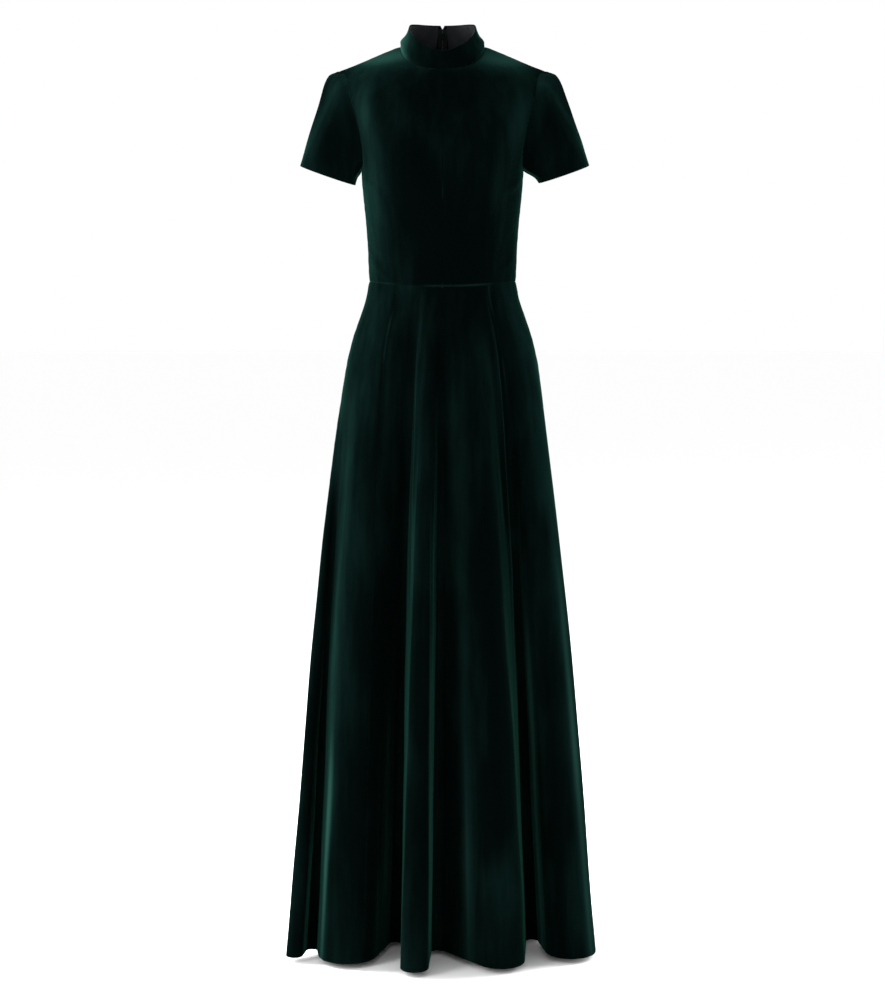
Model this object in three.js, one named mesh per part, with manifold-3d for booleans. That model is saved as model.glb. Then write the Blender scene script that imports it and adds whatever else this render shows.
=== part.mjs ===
// Evening gown: a fitted bodice with a stand collar and set-in short sleeves, a waist seam, and a
// full-length skirt of eight flared gores that hangs in deep folds. It is filled out as if worn, and hollow.
// Millimetres, +Z up, the front towards -Y, the wearer's left on +X. The origin lies between the shoulders,
// at the height where the neck meets them.
import * as THREE from "three";
import Module from "manifold-3d";
import { mergeVertices } from "three/addons/utils/BufferGeometryUtils.js";

// Cloth and seams
const WALL = 2; // shell cloth with its facing
const SEAM = 0.3; // clear width between two sewn pieces
const ARMHOLE_SEAM = 0.25; // the sleeve's own share of the seam's clear width
const LAYER = 0.8; // clear depth between a panel and what is sewn inside it
const LINING = { thick: 1, start: 0.13, foot: 0.04, head: 0.97 }; // its ends, as the collar's steps and rows
const TAPE = { from: 0.7, to: 7.8, thick: 1 }; // from the edge of the opening

// Heights
const HEM_Z = -1539;
const WAIST_Z = -393;
const ZIP_END = 0.13; // share of the skirt's drop that the zip opens

// The level table's own numbers of three places
const UNDERARM = 4;
const SHOULDER = 8;
const FRONT_NECK = 7.12;
const BACK_NECK = 7.34;
const CENTRE_BY_UNDERARM = 3.3; // level of the centre line on the grid line that ends at the underarm
const NECK_SHARE = 0.4; // of the shoulder line, taken by the neck

const table = (names, rows) =>
  rows.map((row) => Object.fromEntries(names.split(" ").map((name, i) => [name, row[i]])));

// Bodice, from the waist up to the shoulder line: centre front and centre back by height and depth, the
// side by place, how full the quarter between them is, and how far it straightens into the shoulder line.
const LEVELS = table("level frontZ front backZ back sideX sideY sideZ full straight", [
  [0, -401, 88, -393, 80, 123.5, 0, -393, 1.66, 0],
  [1, -330, 98, -330, 93, 126, 1, -330, 1.68, 0],
  [2, -285, 108, -285, 101, 129.5, 2, -285, 1.7, 0],
  [3, -240, 116, -240, 108, 134, 4, -240, 1.72, 0],
  [UNDERARM, -209, 116, -209, 111, 136, 5, -209, 1.76, 0],
  [5, -160, 106, -155, 112, 146, 5, -160, 1.84, 0],
  [6, -108, 88, -88, 102, 160, 5, -108, 1.9, 0],
  [7, -56, 68, -24, 76, 172, 5, -68, 1.7, 0.3],
  [SHOULDER, 10, -5, 10, 5, 177, 5, -46, 1.4, 1],
]);

// Armhole, from the underarm to the shoulder point, as a share of the quarter and a level.
const ARMHOLE = table("step share level", [
  [0, 1, UNDERARM],
  [0.14, 0.87, 4.1],
  [0.32, 0.765, 4.75],
  [0.55, 0.735, 5.75],
  [0.78, 0.8, 6.85],
  [1, 1, SHOULDER],
]);

const BUST = { x: 82, z: -225, radius: 48, rise: 8, fade: 4 };

// Sleeves: the middle of each hem and its half widths across and from front to back, then the directions
// that both share. The left one stands out a little more, and is as much flatter as it is deeper.
const SLEEVES = table("word side x z across deep", [
  ["right", -1, 192, -217, 49, 51],
  ["left", 1, 203, -215, 45, 55],
]);
const SLEEVE = {
  outward: new THREE.Vector3(0.945, 0, 0.327),
  forward: new THREE.Vector3(0, -0.997, -0.08),
  hang: new THREE.Vector3(0.3, 0, -0.954),
  capTop: new THREE.Vector3(0.92, 0, -0.4),
  capReach: 68,
  underArm: new THREE.Vector3(0.7, 0, -0.71),
  underReach: 20,
};

// Collar top, from the centre back round to the centre front.
const COLLAR_TOP = table("step x y z", [
  [0, 0, 50, 36],
  [0.5, 40, 36, 36],
  [0.85, 54, 15, 33],
  [1.1, 56, -4, 24],
  [1.5, 41, -36, 0],
  [2, 0, -51, -17],
]);
const COLLAR = {
  slit: 1.8, // clear width of the opening at the centre back
  notch: 3.2, // how far each side of the opening turns away at the top
  notchReach: 0.16, // of a quarter of the collar, on each side of the opening
  hollow: 1.5, // how far its middle draws in between its two edges
  rows: [0, 0.38, 0.76, 1],
};

// Skirt, by share of its drop: the half width, and the depths in front and behind, of its plain level.
const DROP = table("share side front back", [
  [0, 123.5, 88, 80],
  [0.028, 130, 93, 92],
  [0.056, 141, 99, 104],
  [0.086, 152, 104, 114],
  [0.12, 161, 108, 121],
  [0.175, 171, 111, 129],
  [0.25, 181, 110, 134],
  [0.4, 199, 105, 137],
  [0.6, 218, 96, 134],
  [0.8, 233, 87, 130],
  [1, 249, 80, 126],
]);

// Folds at the hem, round from the centre back by the wearer's right side and the front: the share of the
// waist each falls from, its centre, its radius (ridges turn out, furrows turn in) and the share of the
// drop at which it starts.
const FOLDS = table("girth x y turn start", [
  [0, 2, 126, -11, 0.1],
  [0.045, -49, 202, 27, 0.1],
  [0.085, -98, 101, -11, 0.1],
  [0.125, -151, 170, 34, 0.12],
  [0.165, -183, 55, -10, 0.12],
  [0.2, -236, 77, 25, 0.14],
  [0.235, -218, -9, -9, 0.16],
  [0.268, -253, -66, 15, 0.18],
  [0.297, -225, -45, -9, 0.18],
  [0.375, -162, -61, 51, 0.12],
  [0.449, -82, -8, -10, 0.05],
  [0.477, -47, -130, 24, 0.05],
  [0.5, -7, -53, -12, 0.04],
  [0.549, 98, -94, 42, 0.02],
  [0.6, 156, 5, -10, 0.01],
  [0.67, 220, -43, 44, 0.06],
  [0.775, 198, 36, -10, 0.14],
  [0.81, 243, 90, 23, 0.14],
  [0.845, 168, 94, -11, 0.12],
  [0.885, 132, 187, 36, 0.12],
  [0.92, 81, 104, -11, 0.1],
  [0.96, 47, 208, 26, 0.1],
]);
const FOLD_GROWTH = 0.85; // under 1, so that a fold opens fastest where it starts

const GORES = table("name from to", [
  ["skirt_back_right", 0, 0.125],
  ["skirt_side_back_right", 0.125, 0.25],
  ["skirt_side_front_right", 0.25, 0.395],
  ["skirt_front_right", 0.395, 0.5],
  ["skirt_front_left", 0.5, 0.605],
  ["skirt_side_front_left", 0.605, 0.75],
  ["skirt_side_back_left", 0.75, 0.875],
  ["skirt_back_left", 0.875, 1],
]);

// Zip slider and its pull tab, which hangs from a pin along X on the back of the collar.
const SLIDER = {
  up: 0.6, // share of the collar's height
  plate: { wide: 7.4, thick: 1.4, high: 10 },
  neck: { wide: 1, high: 4, up: 1 },
  crown: { wide: 5.6, thick: 1, high: 9, out: 1.1 },
  ear: { wide: 1, deep: 4, high: 3, apart: 4.6, out: 2.9 },
  pin: { radius: 0.9, long: 5.2, out: 4.1, sides: 20 },
};
const PULL = {
  lean: 0.1, // radians out from straight down, as it rests on the collar
  barrel: { radius: 2.1, eye: 1.25, wide: 3.2, sides: 24 },
  blade: { long: 27, wide: 5.6, thick: 1, neck: 2.2, narrowTo: 0.4, widenFrom: 0.6, bends: 10 },
};

// Grid steps: across a panel and a gore, up the bodice, down a sleeve and down the skirt
const COLUMNS = { panel: 10, gore: 20, goreTrial: 300 };
const TURN_WEIGHT = 60; // mm of the hem's run that a radian of its turn counts for, in spacing columns
const RISE = [0, 0.1, 0.2, 0.3, 0.4, 0.46, 0.53, 0.6, 0.67, 0.74, 0.8, 0.84, 0.88, 0.92, 0.96, 1];
const UNDERARM_STEP = 0.4;
const NECK_STEP = 0.8;
const SLEEVE_FALL = [0, 0.12, 0.28, 0.46, 0.64, 0.82, 1];
const FALL = [0, 0.02, 0.05, 0.085, 0.13, 0.2, 0.31, 0.45, 0.63, 0.82, 1];

const wasm = await Module();
wasm.setup();

const clamp = (value) => Math.min(Math.max(value, 0), 1);
const mix = (a, b, share) => a + (b - a) * share;
const degrees = (radians) => (radians * 180) / Math.PI;

/** Hermite blend of two values or places with their leaving and arriving slopes. */
function hermite(a, leaving, b, arriving, w) {
  const atA = 2 * w ** 3 - 3 * w ** 2 + 1;
  const fromA = w ** 3 - 2 * w ** 2 + w;
  const toB = w ** 3 - w ** 2;
  if (typeof a === "number") return a * atA + leaving * fromA + b * (1 - atA) + arriving * toB;
  return a.clone().multiplyScalar(atA).addScaledVector(leaving, fromA)
    .addScaledVector(b, 1 - atA).addScaledVector(arriving, toB);
}

/** A smooth curve through one column of a table, never past its rows. It may start or end level. */
function column(rows, along, key, { flatStart = false, flatEnd = false } = {}) {
  const x = rows.map((row) => row[along]);
  const y = rows.map((row) => row[key]);
  const rise = x.slice(1).map((value, i) => (y[i + 1] - y[i]) / (value - x[i]));
  const slope = x.map((_, i) => {
    if (i === 0) return flatStart ? 0 : rise[0];
    if (i === x.length - 1) return flatEnd ? 0 : rise.at(-1);
    const product = rise[i - 1] * rise[i];
    return product <= 0 ? 0 : (2 * product) / (rise[i - 1] + rise[i]);
  });
  return (at) => {
    let i = 0;
    while (i < x.length - 2 && at > x[i + 1]) i += 1;
    const span = x[i + 1] - x[i];
    const w = clamp((at - x[i]) / span);
    return hermite(y[i], slope[i] * span, y[i + 1], slope[i + 1] * span, w);
  };
}

/** One quarter of a level round the body, from its centre line to its side. */
function quarter(centre, side, full, straight, share) {
  const chord = side.clone().sub(centre);
  const leaving = new THREE.Vector3(mix(full, 1, straight) * side.x, 0, 0);
  const arriving = new THREE.Vector3(0, full * (side.y - centre.y), 0).lerp(chord, straight);
  return hermite(centre, leaving, side, arriving, share);
}

/** The way that a surface of two parameters faces at one place. */
function normalOf(surface, s, t, facing, tiny = 1e-3) {
  const ds = surface(s + tiny, t).sub(surface(s - tiny, t));
  const dt = surface(s, t + tiny).sub(surface(s, t - tiny));
  return ds.cross(dt).multiplyScalar(facing).normalize();
}

/** Points and outward normals of a surface at every pair of the given steps. */
function sample(surface, across, along, facing) {
  return across.map((s) => along.map((t) => (
    { point: surface(s, t), normal: normalOf(surface, s, t, facing) })));
}

/** Draws the first or last line of a grid in from the seam line, by half the seam's clear width. */
function trim(grid, { first, last, top, bottom }, amount = SEAM / 2) {
  const draw = (edge, next) => {
    const step = next.point.clone().sub(edge.point).normalize();
    edge.point.addScaledVector(step, amount);
  };
  if (first) grid[0].forEach((edge, j) => draw(edge, grid[1][j]));
  if (last) grid.at(-1).forEach((edge, j) => draw(edge, grid.at(-2)[j]));
  if (bottom) grid.forEach((line) => draw(line[0], line[1]));
  if (top) grid.forEach((line) => draw(line.at(-1), line.at(-2)));
  return grid;
}

/** A closed wall on a grid: its outer face set in by a depth, its inner face a thickness behind that. */
function wall(grid, facing, { depth = 0, thick = WALL, round = false } = {}) {
  const across = grid.length;
  const along = grid[0].length;
  const position = [];
  [depth, depth + thick].forEach((set) => grid.forEach((line) => line.forEach(({ point, normal }) => {
    position.push(...point.clone().addScaledVector(normal, -set).toArray());
  })));
  const index = [];
  const at = (face, i, j) => face * across * along + (i % across) * along + j;
  const quad = (a, b, c, d) => {
    if (facing > 0) index.push(a, b, c, a, c, d);
    else index.push(a, c, b, a, d, c);
  };
  const spans = round ? across : across - 1;
  for (let i = 0; i < spans; i += 1) {
    for (let j = 0; j < along - 1; j += 1) {
      quad(at(0, i, j), at(0, i + 1, j), at(0, i + 1, j + 1), at(0, i, j + 1));
      quad(at(1, i, j), at(1, i, j + 1), at(1, i + 1, j + 1), at(1, i + 1, j));
    }
    quad(at(0, i + 1, 0), at(0, i, 0), at(1, i, 0), at(1, i + 1, 0));
    quad(at(0, i, along - 1), at(0, i + 1, along - 1), at(1, i + 1, along - 1), at(1, i, along - 1));
  }
  for (let j = 0; j < along - 1 && !round; j += 1) {
    quad(at(0, 0, j), at(0, 0, j + 1), at(1, 0, j + 1), at(1, 0, j));
    quad(at(0, spans, j + 1), at(0, spans, j), at(1, spans, j), at(1, spans, j + 1));
  }
  const geometry = new THREE.BufferGeometry();
  geometry.setAttribute("position", new THREE.Float32BufferAttribute(position, 3));
  geometry.setIndex(index);
  geometry.computeVertexNormals();
  return geometry;
}

const steps = (from, to, count) => Array.from({ length: count + 1 }, (_, i) => mix(from, to, i / count));

// Bodice
const depths = ["front", "back"];
const level = Object.fromEntries([...depths, "frontZ", "backZ", "sideX", "sideY", "sideZ", "full", "straight"]
  .map((key) => [key, column(LEVELS, "level", key, { flatEnd: !depths.includes(key) })]));
const armhole = { share: column(ARMHOLE, "step", "share"), level: column(ARMHOLE, "step", "level") };

/** The body's surface at a level of the table and a share of the quarter, on one side, front or back. */
function body(at, share, side, isFront) {
  const centre = isFront
    ? new THREE.Vector3(0, -level.front(at), level.frontZ(at))
    : new THREE.Vector3(0, level.back(at), level.backZ(at));
  const flank = new THREE.Vector3(level.sideX(at), level.sideY(at), level.sideZ(at));
  const point = quarter(centre, flank, level.full(at), level.straight(at), share);
  if (isFront) {
    const off = (point.x - BUST.x) ** 2 + (point.z - BUST.z) ** 2;
    const rise = BUST.rise * (1 - share ** BUST.fade);
    point.y -= rise * Math.exp(-off / (2 * BUST.radius ** 2));
  }
  point.x *= side;
  return point;
}

/** Where a panel's own steps lie on the body: its centre line and neckline are step 0 across, its side seam
    and armhole step 1, the waist step 0 up and the shoulder seam step 1. */
function cut(s, t, isFront) {
  const neck = isFront ? FRONT_NECK : BACK_NECK;
  const turn = (clamp((t - NECK_STEP) / (1 - NECK_STEP)) * Math.PI) / 2;
  const past = (t - UNDERARM_STEP) / (NECK_STEP - UNDERARM_STEP);
  const centreLine = t < UNDERARM_STEP
    ? (CENTRE_BY_UNDERARM * t) / UNDERARM_STEP
    : mix(CENTRE_BY_UNDERARM, neck, past);
  const inner = {
    share: NECK_SHARE * Math.sin(turn),
    level: t < NECK_STEP ? centreLine : mix(neck, SHOULDER, 1 - Math.cos(turn)),
  };
  const up = clamp((t - UNDERARM_STEP) / (1 - UNDERARM_STEP));
  const outer = t < UNDERARM_STEP
    ? { share: 1, level: (UNDERARM * t) / UNDERARM_STEP }
    : { share: armhole.share(up), level: armhole.level(up) };
  return [mix(inner.level, outer.level, s), mix(inner.share, outer.share, s)];
}

/** The place of a panel's steps. */
const panel = (side, isFront) => (s, t) => body(...cut(s, t, isFront), side, isFront);

/** A panel's grid. Along the shoulder seam, front and back face the same way. */
function panelGrid(side, isFront, across, along) {
  const facing = side * (isFront ? -1 : 1);
  const surface = (at, share) => body(at, share, side, isFront);
  const shoulder = new THREE.Vector3(side * (LEVELS[SHOULDER].frontZ - LEVELS[SHOULDER].sideZ), 0,
    LEVELS[SHOULDER].sideX).normalize();
  return across.map((s) => along.map((t) => ({
    point: panel(side, isFront)(s, t),
    normal: t === 1 ? shoulder.clone() : normalOf(surface, ...cut(s, t, isFront), facing),
  })));
}

// Sleeves
/** A sleeve from its armhole, step 0 at the underarm and half way at the shoulder, to its hem. */
function sleeve({ side, x, z, across, deep }) {
  const front = panel(side, true);
  const back = panel(side, false);
  const mirror = new THREE.Vector3(side, 1, 1);
  const hang = SLEEVE.hang.clone().multiply(mirror);
  const capTop = SLEEVE.capTop.clone().multiply(mirror);
  const underArm = SLEEVE.underArm.clone().multiply(mirror);
  return (round, w) => {
    const turn = ((round % 1) + 1) % 1;
    const isFront = turn <= 0.5;
    const up = mix(UNDERARM_STEP, 1, isFront ? turn * 2 : 2 - turn * 2);
    const start = (isFront ? front : back)(1, up);
    const angle = turn * 2 * Math.PI;
    const end = new THREE.Vector3(x, 0, z)
      .addScaledVector(SLEEVE.outward, -across * Math.cos(angle))
      .addScaledVector(SLEEVE.forward, deep * Math.sin(angle))
      .multiply(mirror);
    const cap = (1 - Math.cos(angle)) / 2;
    const leaving = capTop.clone().multiplyScalar(SLEEVE.capReach * cap)
      .addScaledVector(underArm, SLEEVE.underReach * (1 - cap));
    const arriving = hang.clone().multiplyScalar(start.distanceTo(end));
    return hermite(start, leaving, end, arriving, w);
  };
}

// Collar
const levelEnds = { flatStart: true, flatEnd: true };
const collarTop = {
  x: column(COLLAR_TOP, "step", "x"),
  y: column(COLLAR_TOP, "step", "y", levelEnds),
  z: column(COLLAR_TOP, "step", "z", levelEnds),
};

/** The collar, step 0 to 4 from the centre back by the wearer's right and the front, and up from 0 to 1. */
function collar(step, up) {
  const side = step <= 2 ? -1 : 1;
  const fromBack = step <= 2 ? step : 4 - step;
  const isFront = fromBack > 1;
  const along = isFront ? 2 - fromBack : fromBack;
  const base = panel(side, isFront)(0, mix(NECK_STEP, 1, clamp(along)));
  const top = new THREE.Vector3(side * collarTop.x(fromBack), collarTop.y(fromBack), collarTop.z(fromBack));
  const waisted = 1 - (COLLAR.hollow * 4 * up * (1 - up)) / top.length();
  const notch = clamp((up - COLLAR.rows[2]) / (1 - COLLAR.rows[2])) * clamp(1 - fromBack / COLLAR.notchReach);
  const point = base.lerp(top, up).multiply(new THREE.Vector3(waisted, waisted, 1));
  point.x += side * COLLAR.notch * notch;
  return point;
}

// Skirt
const plain = Object.fromEntries(["side", "front", "back"].map((key) => [key, column(DROP, "share", key)]));

/** The skirt's plain level, without folds, at a share of the girth from the centre back and of the drop. */
function plainSkirt(girth, share) {
  const side = girth < 0.5 ? -1 : 1;
  const isFront = girth > 0.25 && girth < 0.75;
  const along = isFront ? Math.abs(girth - 0.5) * 4 : Math.min(girth, 1 - girth) * 4;
  const dip = (LEVELS[0].frontZ - WAIST_Z) * (1 - share);
  const centre = isFront
    ? new THREE.Vector3(0, -plain.front(share), dip)
    : new THREE.Vector3(0, plain.back(share), 0);
  const point = quarter(centre, new THREE.Vector3(plain.side(share), 0, 0), LEVELS[0].full, 0, along);
  point.x *= side;
  point.z += mix(WAIST_Z, HEM_Z, share);
  return point;
}

/** The hem's plan: a line that passes round every fold's circle in turn, each joined to the next by their
    common tangent. It gives the place at a length, and each fold's own length from the centre back. */
function hemPlan() {
  const ring = FOLDS.map((fold, i) => {
    const next = FOLDS[(i + 1) % FOLDS.length];
    const dx = next.x - fold.x;
    const dy = next.y - fold.y;
    const reach = Math.hypot(dx, dy);
    const heading = Math.atan2(dy, dx) + Math.asin((fold.turn - next.turn) / reach);
    return { heading, straight: Math.sqrt(reach ** 2 - (fold.turn - next.turn) ** 2) };
  });
  const full = 2 * Math.PI;
  const parts = FOLDS.map((fold, i) => {
    const arrive = ring.at(i - 1).heading;
    const swing = Math.sign(fold.turn);
    const turned = ((((ring[i].heading - arrive) * swing) % full) + full) % full;
    const { straight } = ring[i];
    return { fold, swing, half: turned / 2, middle: arrive + (swing * turned) / 2, straight };
  });
  let length = 0;
  const at = parts.map(({ fold, half, straight }, i) => {
    const here = length;
    const after = parts[(i + 1) % parts.length];
    length += half * Math.abs(fold.turn) + straight + after.half * Math.abs(after.fold.turn);
    return here;
  });
  const onArc = ({ fold, swing, middle }, past) => {
    const heading = middle + (swing * past) / Math.abs(fold.turn);
    return { x: fold.x + fold.turn * Math.sin(heading), y: fold.y - fold.turn * Math.cos(heading) };
  };
  const place = (distance) => {
    const along = ((distance % length) + length) % length;
    let i = parts.length - 1;
    while (at[i] > along) i -= 1;
    const part = parts[i];
    const after = parts[(i + 1) % parts.length];
    const past = along - at[i];
    const arc = part.half * Math.abs(part.fold.turn);
    if (past <= arc) return onArc(part, past);
    if (past > arc + part.straight) {
      return onArc(after, past - arc - part.straight - after.half * Math.abs(after.fold.turn));
    }
    const from = onArc(part, arc);
    const to = onArc(after, -after.half * Math.abs(after.fold.turn));
    const share = (past - arc) / part.straight;
    return { x: mix(from.x, to.x, share), y: mix(from.y, to.y, share) };
  };
  return { place, at, length };
}

const hem = hemPlan();
const closed = FOLDS.map((fold, i) => ({ ...fold, at: hem.at[i] }));
closed.push({ ...FOLDS[0], girth: 1, at: hem.length });
const hemLength = column(closed, "girth", "at");
const foldStart = column(closed, "girth", "start");

/** The skirt at a share of the girth and of the drop: its plain level, moved towards the hem's folds. */
function skirt(girth, share) {
  const point = plainSkirt(girth, share);
  const start = foldStart(girth);
  const open = clamp((share - start) / (1 - start)) ** FOLD_GROWTH;
  const end = hem.place(hemLength(girth));
  const flat = plainSkirt(girth, 1);
  point.x += open * (end.x - flat.x);
  point.y += open * (end.y - flat.y);
  return point;
}

/** Steps across a gore, closer together where the hem's plan turns than where it runs straight. */
function goreSteps(from, to) {
  const trial = steps(from, to, COLUMNS.goreTrial);
  const places = trial.map((girth) => hem.place(hemLength(girth)));
  const runs = places.slice(1).map((place, i) => ({ x: place.x - places[i].x, y: place.y - places[i].y }));
  let measure = 0;
  const measures = [0];
  runs.forEach((run, i) => {
    const before = runs[Math.max(i - 1, 0)];
    const turned = Math.atan2(before.x * run.y - before.y * run.x, before.x * run.x + before.y * run.y);
    measure += Math.hypot(run.x, run.y) + TURN_WEIGHT * Math.abs(turned);
    measures.push(measure);
  });
  const rows = trial.map((girth, i) => ({ girth, measure: measures[i] }));
  return steps(0, measure, COLUMNS.gore).map(column(rows, "measure", "girth"));
}

// Zip
/** One side of the zip: a strip behind the edge of the opening, down the collar, the bodice and the top of
    the skirt. Where two of them meet, it faces half way between. */
function zipTape(side) {
  const stretches = [
    { rows: COLLAR.rows.slice(0, -1).reverse(), surface: (s, v) => collar(side < 0 ? s : 4 - s, v) },
    { rows: RISE.filter((t) => t < NECK_STEP).reverse(), surface: panel(side, false) },
    { rows: FALL.filter((t) => t > 0 && t <= ZIP_END), surface: (s, v) => skirt(side < 0 ? s : 1 - s, v) },
  ];
  const lines = stretches.flatMap(({ rows, surface }) => rows.map((v) => {
    const unit = 1e-3;
    const perStep = surface(unit, v).distanceTo(surface(0, v)) / unit;
    return [TAPE.from, (TAPE.from + TAPE.to) / 2, TAPE.to].map((x) => {
      const point = surface(x / perStep, v);
      const normal = normalOf(surface, x / perStep, v, 1);
      return { point, normal: normal.y < 0 ? normal.negate() : normal };
    });
  }));
  const grid = lines[0].map((_, i) => lines.map((line) => line[i]));
  return wall(grid, side, { depth: WALL + LAYER, thick: TAPE.thick });
}

/** A geometry as a manifold solid. */
function solid(geometry) {
  const plainGeometry = geometry.clone();
  plainGeometry.deleteAttribute("normal");
  plainGeometry.deleteAttribute("uv");
  const merged = mergeVertices(plainGeometry, 1e-4);
  const vertProperties = new Float32Array(merged.attributes.position.array);
  const triVerts = new Uint32Array(merged.index.array);
  return new wasm.Manifold(new wasm.Mesh({ numProp: 3, vertProperties, triVerts }));
}

/** A manifold solid as a geometry. */
function geometryOf(whole) {
  const mesh = whole.getMesh();
  const geometry = new THREE.BufferGeometry();
  geometry.setAttribute("position", new THREE.BufferAttribute(new Float32Array(mesh.vertProperties), 3));
  geometry.setIndex(new THREE.BufferAttribute(new Uint32Array(mesh.triVerts), 1));
  geometry.computeVertexNormals();
  return geometry;
}

const block = ({ wide, deep, high }, x, y, z) =>
  solid(new THREE.BoxGeometry(wide, deep, high).translate(x, y, z));
const rod = (radius, length, sides) =>
  solid(new THREE.CylinderGeometry(radius, radius, length, sides).rotateZ(Math.PI / 2));

const seat = collar(0, SLIDER.up);
const below = collar(0, SLIDER.up / 2);
const lean = Math.atan2(below.y - seat.y, seat.z - below.z);

/** The slider, made upright on the cloth's outer face and then leaned with the collar: a plate inside the
    opening, a neck through it, and a crown whose ears hold the pin. */
function slider() {
  const { plate, neck, crown, ear, pin } = SLIDER;
  const inside = -(WALL + LAYER + TAPE.thick + (LAYER + plate.thick) / 2);
  const whole = [
    block({ ...plate, deep: plate.thick }, 0, inside, 0),
    block({ ...neck, deep: crown.out - inside }, 0, (crown.out + inside) / 2, neck.up),
    block({ ...crown, deep: crown.thick }, 0, crown.out, 0),
    block(ear, -ear.apart / 2, ear.out, 0),
    block(ear, ear.apart / 2, ear.out, 0),
    rod(pin.radius, pin.long, pin.sides).translate(0, pin.out, 0),
  ].reduce((sum, piece) => sum.add(piece));
  return geometryOf(whole.rotate([degrees(lean), 0, 0]).translate(0, seat.y, seat.z));
}

/** The pull: a drop-shaped tab that swings on a barrel round the slider's pin. */
function pull() {
  const { barrel, blade } = PULL;
  const half = blade.wide / 2;
  const neck = blade.neck / 2;
  const outline = new THREE.Shape();
  outline.moveTo(-neck, 0);
  outline.bezierCurveTo(
    -neck, -blade.long * blade.narrowTo, -half, -blade.long * blade.widenFrom, -half, half - blade.long);
  outline.absarc(0, half - blade.long, half, Math.PI, 2 * Math.PI, false);
  outline.bezierCurveTo(
    half, -blade.long * blade.widenFrom, neck, -blade.long * blade.narrowTo, neck, 0);
  const tab = new THREE.ExtrudeGeometry(outline,
    { depth: blade.thick, bevelEnabled: false, curveSegments: blade.bends });
  tab.translate(0, 0, -blade.thick / 2).rotateX(Math.PI / 2);
  const whole = solid(tab)
    .add(rod(barrel.radius, barrel.wide, barrel.sides))
    .subtract(rod(barrel.eye, 2 * barrel.wide, barrel.sides));
  const { out } = SLIDER.pin;
  return geometryOf(whole.rotate([degrees(PULL.lean), 0, 0])
    .translate(0, seat.y + out * Math.cos(lean), seat.z + out * Math.sin(lean)));
}

// Finishes
const finish = (color, roughness, metalness = 0) =>
  new THREE.MeshStandardMaterial({ color, roughness, metalness, side: THREE.DoubleSide });

const gown = new THREE.Group();
function add(name, geometry, material) {
  const mesh = new THREE.Mesh(geometry, material);
  mesh.name = name;
  gown.add(mesh);
}
const velvet = () => finish(0x0f3a20, 0.85);
const zipMetal = () => finish(0x1c2622, 0.4, 0.8);
const stepsPast = (start) => RISE.filter((t) => t >= start).map((t) => (t - start) / (1 - start));

for (const shape of SLEEVES) {
  const { word, side } = shape;
  for (const isFront of [true, false]) {
    const facing = side * (isFront ? 1 : -1);
    const grid = panelGrid(side, isFront, steps(0, 1, COLUMNS.panel), RISE);
    trim(grid, { first: true, last: true, bottom: true, top: true });
    add(`bodice_${isFront ? "front" : "back"}_${word}`, wall(grid, facing), velvet());
  }
  const ups = stepsPast(UNDERARM_STEP).map((t) => t / 2);
  const round = [...ups, ...ups.slice(1, -1).reverse().map((t) => 1 - t)];
  const tube = sample(sleeve(shape), round, SLEEVE_FALL, -side);
  trim(tube, { bottom: true }, ARMHOLE_SEAM);
  add(`sleeve_${word}`, wall(tube, -side, { round: true }), velvet());
}

for (const { name, from, to } of GORES) {
  const grid = sample(skirt, goreSteps(from, to), FALL, -1);
  trim(grid, { first: true, last: true, bottom: true });
  add(name, wall(grid, -1), velvet());
}

const outward = stepsPast(NECK_STEP);
const inward = outward.map((t) => 1 - t).reverse();
const collarSteps = [outward, inward, outward, inward]
  .flatMap((quarterSteps, part) => quarterSteps.slice(part ? 1 : 0).map((t) => part + t));
const band = trim(sample(collar, collarSteps, COLLAR.rows, 1), { bottom: true });
add("collar", wall(trim(band, { first: true, last: true }, COLLAR.slit / 2), 1), velvet());
const liningSteps = [LINING.start, ...collarSteps.slice(1, -1), 4 - LINING.start];
const lining = sample(collar, liningSteps, [LINING.foot, ...COLLAR.rows.slice(1, -1), LINING.head], 1);
add("collar_lining", wall(lining, 1, { depth: WALL + LAYER, thick: LINING.thick }), finish(0x1b1c1e, 0.7));
for (const { word, side } of SLEEVES) add(`zip_tape_${word}`, zipTape(side), finish(0x101214, 0.8));
add("zip_slider", slider(), zipMetal());
add("zip_pull", pull(), zipMetal());

export default gown;
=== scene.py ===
"""Evening gown of deep green velvet, filled out as worn: fitted bodice, stand collar, short set-in sleeves,
a waist seam, and a full-length skirt of eight flared gores that hangs in deep folds.

Each cloth piece is a thin closed shell on a surface of two parameters, worked out in millimetres from the
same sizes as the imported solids, and put into its mesh in metres. The front faces -Y, the wearer's left +X.
"""

import bmesh
import bpy
import numpy as np
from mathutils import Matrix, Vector


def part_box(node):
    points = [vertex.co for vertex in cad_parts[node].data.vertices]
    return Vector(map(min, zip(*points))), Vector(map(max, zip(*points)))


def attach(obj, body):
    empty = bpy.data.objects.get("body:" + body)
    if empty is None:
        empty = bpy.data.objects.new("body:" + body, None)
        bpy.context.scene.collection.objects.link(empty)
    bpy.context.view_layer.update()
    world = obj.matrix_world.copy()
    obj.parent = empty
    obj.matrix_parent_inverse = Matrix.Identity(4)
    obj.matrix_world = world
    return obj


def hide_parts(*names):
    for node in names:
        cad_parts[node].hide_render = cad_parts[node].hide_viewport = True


bl_info = {
    "name": "Evening gown",
    "version": (1, 0, 0),
    "blender": (4, 5, 0),
    "location": "3D View > Sidebar > Gown",
    "description": "Sews the velvet evening gown round its packed frame",
    "category": "Add Mesh",
}

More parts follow.
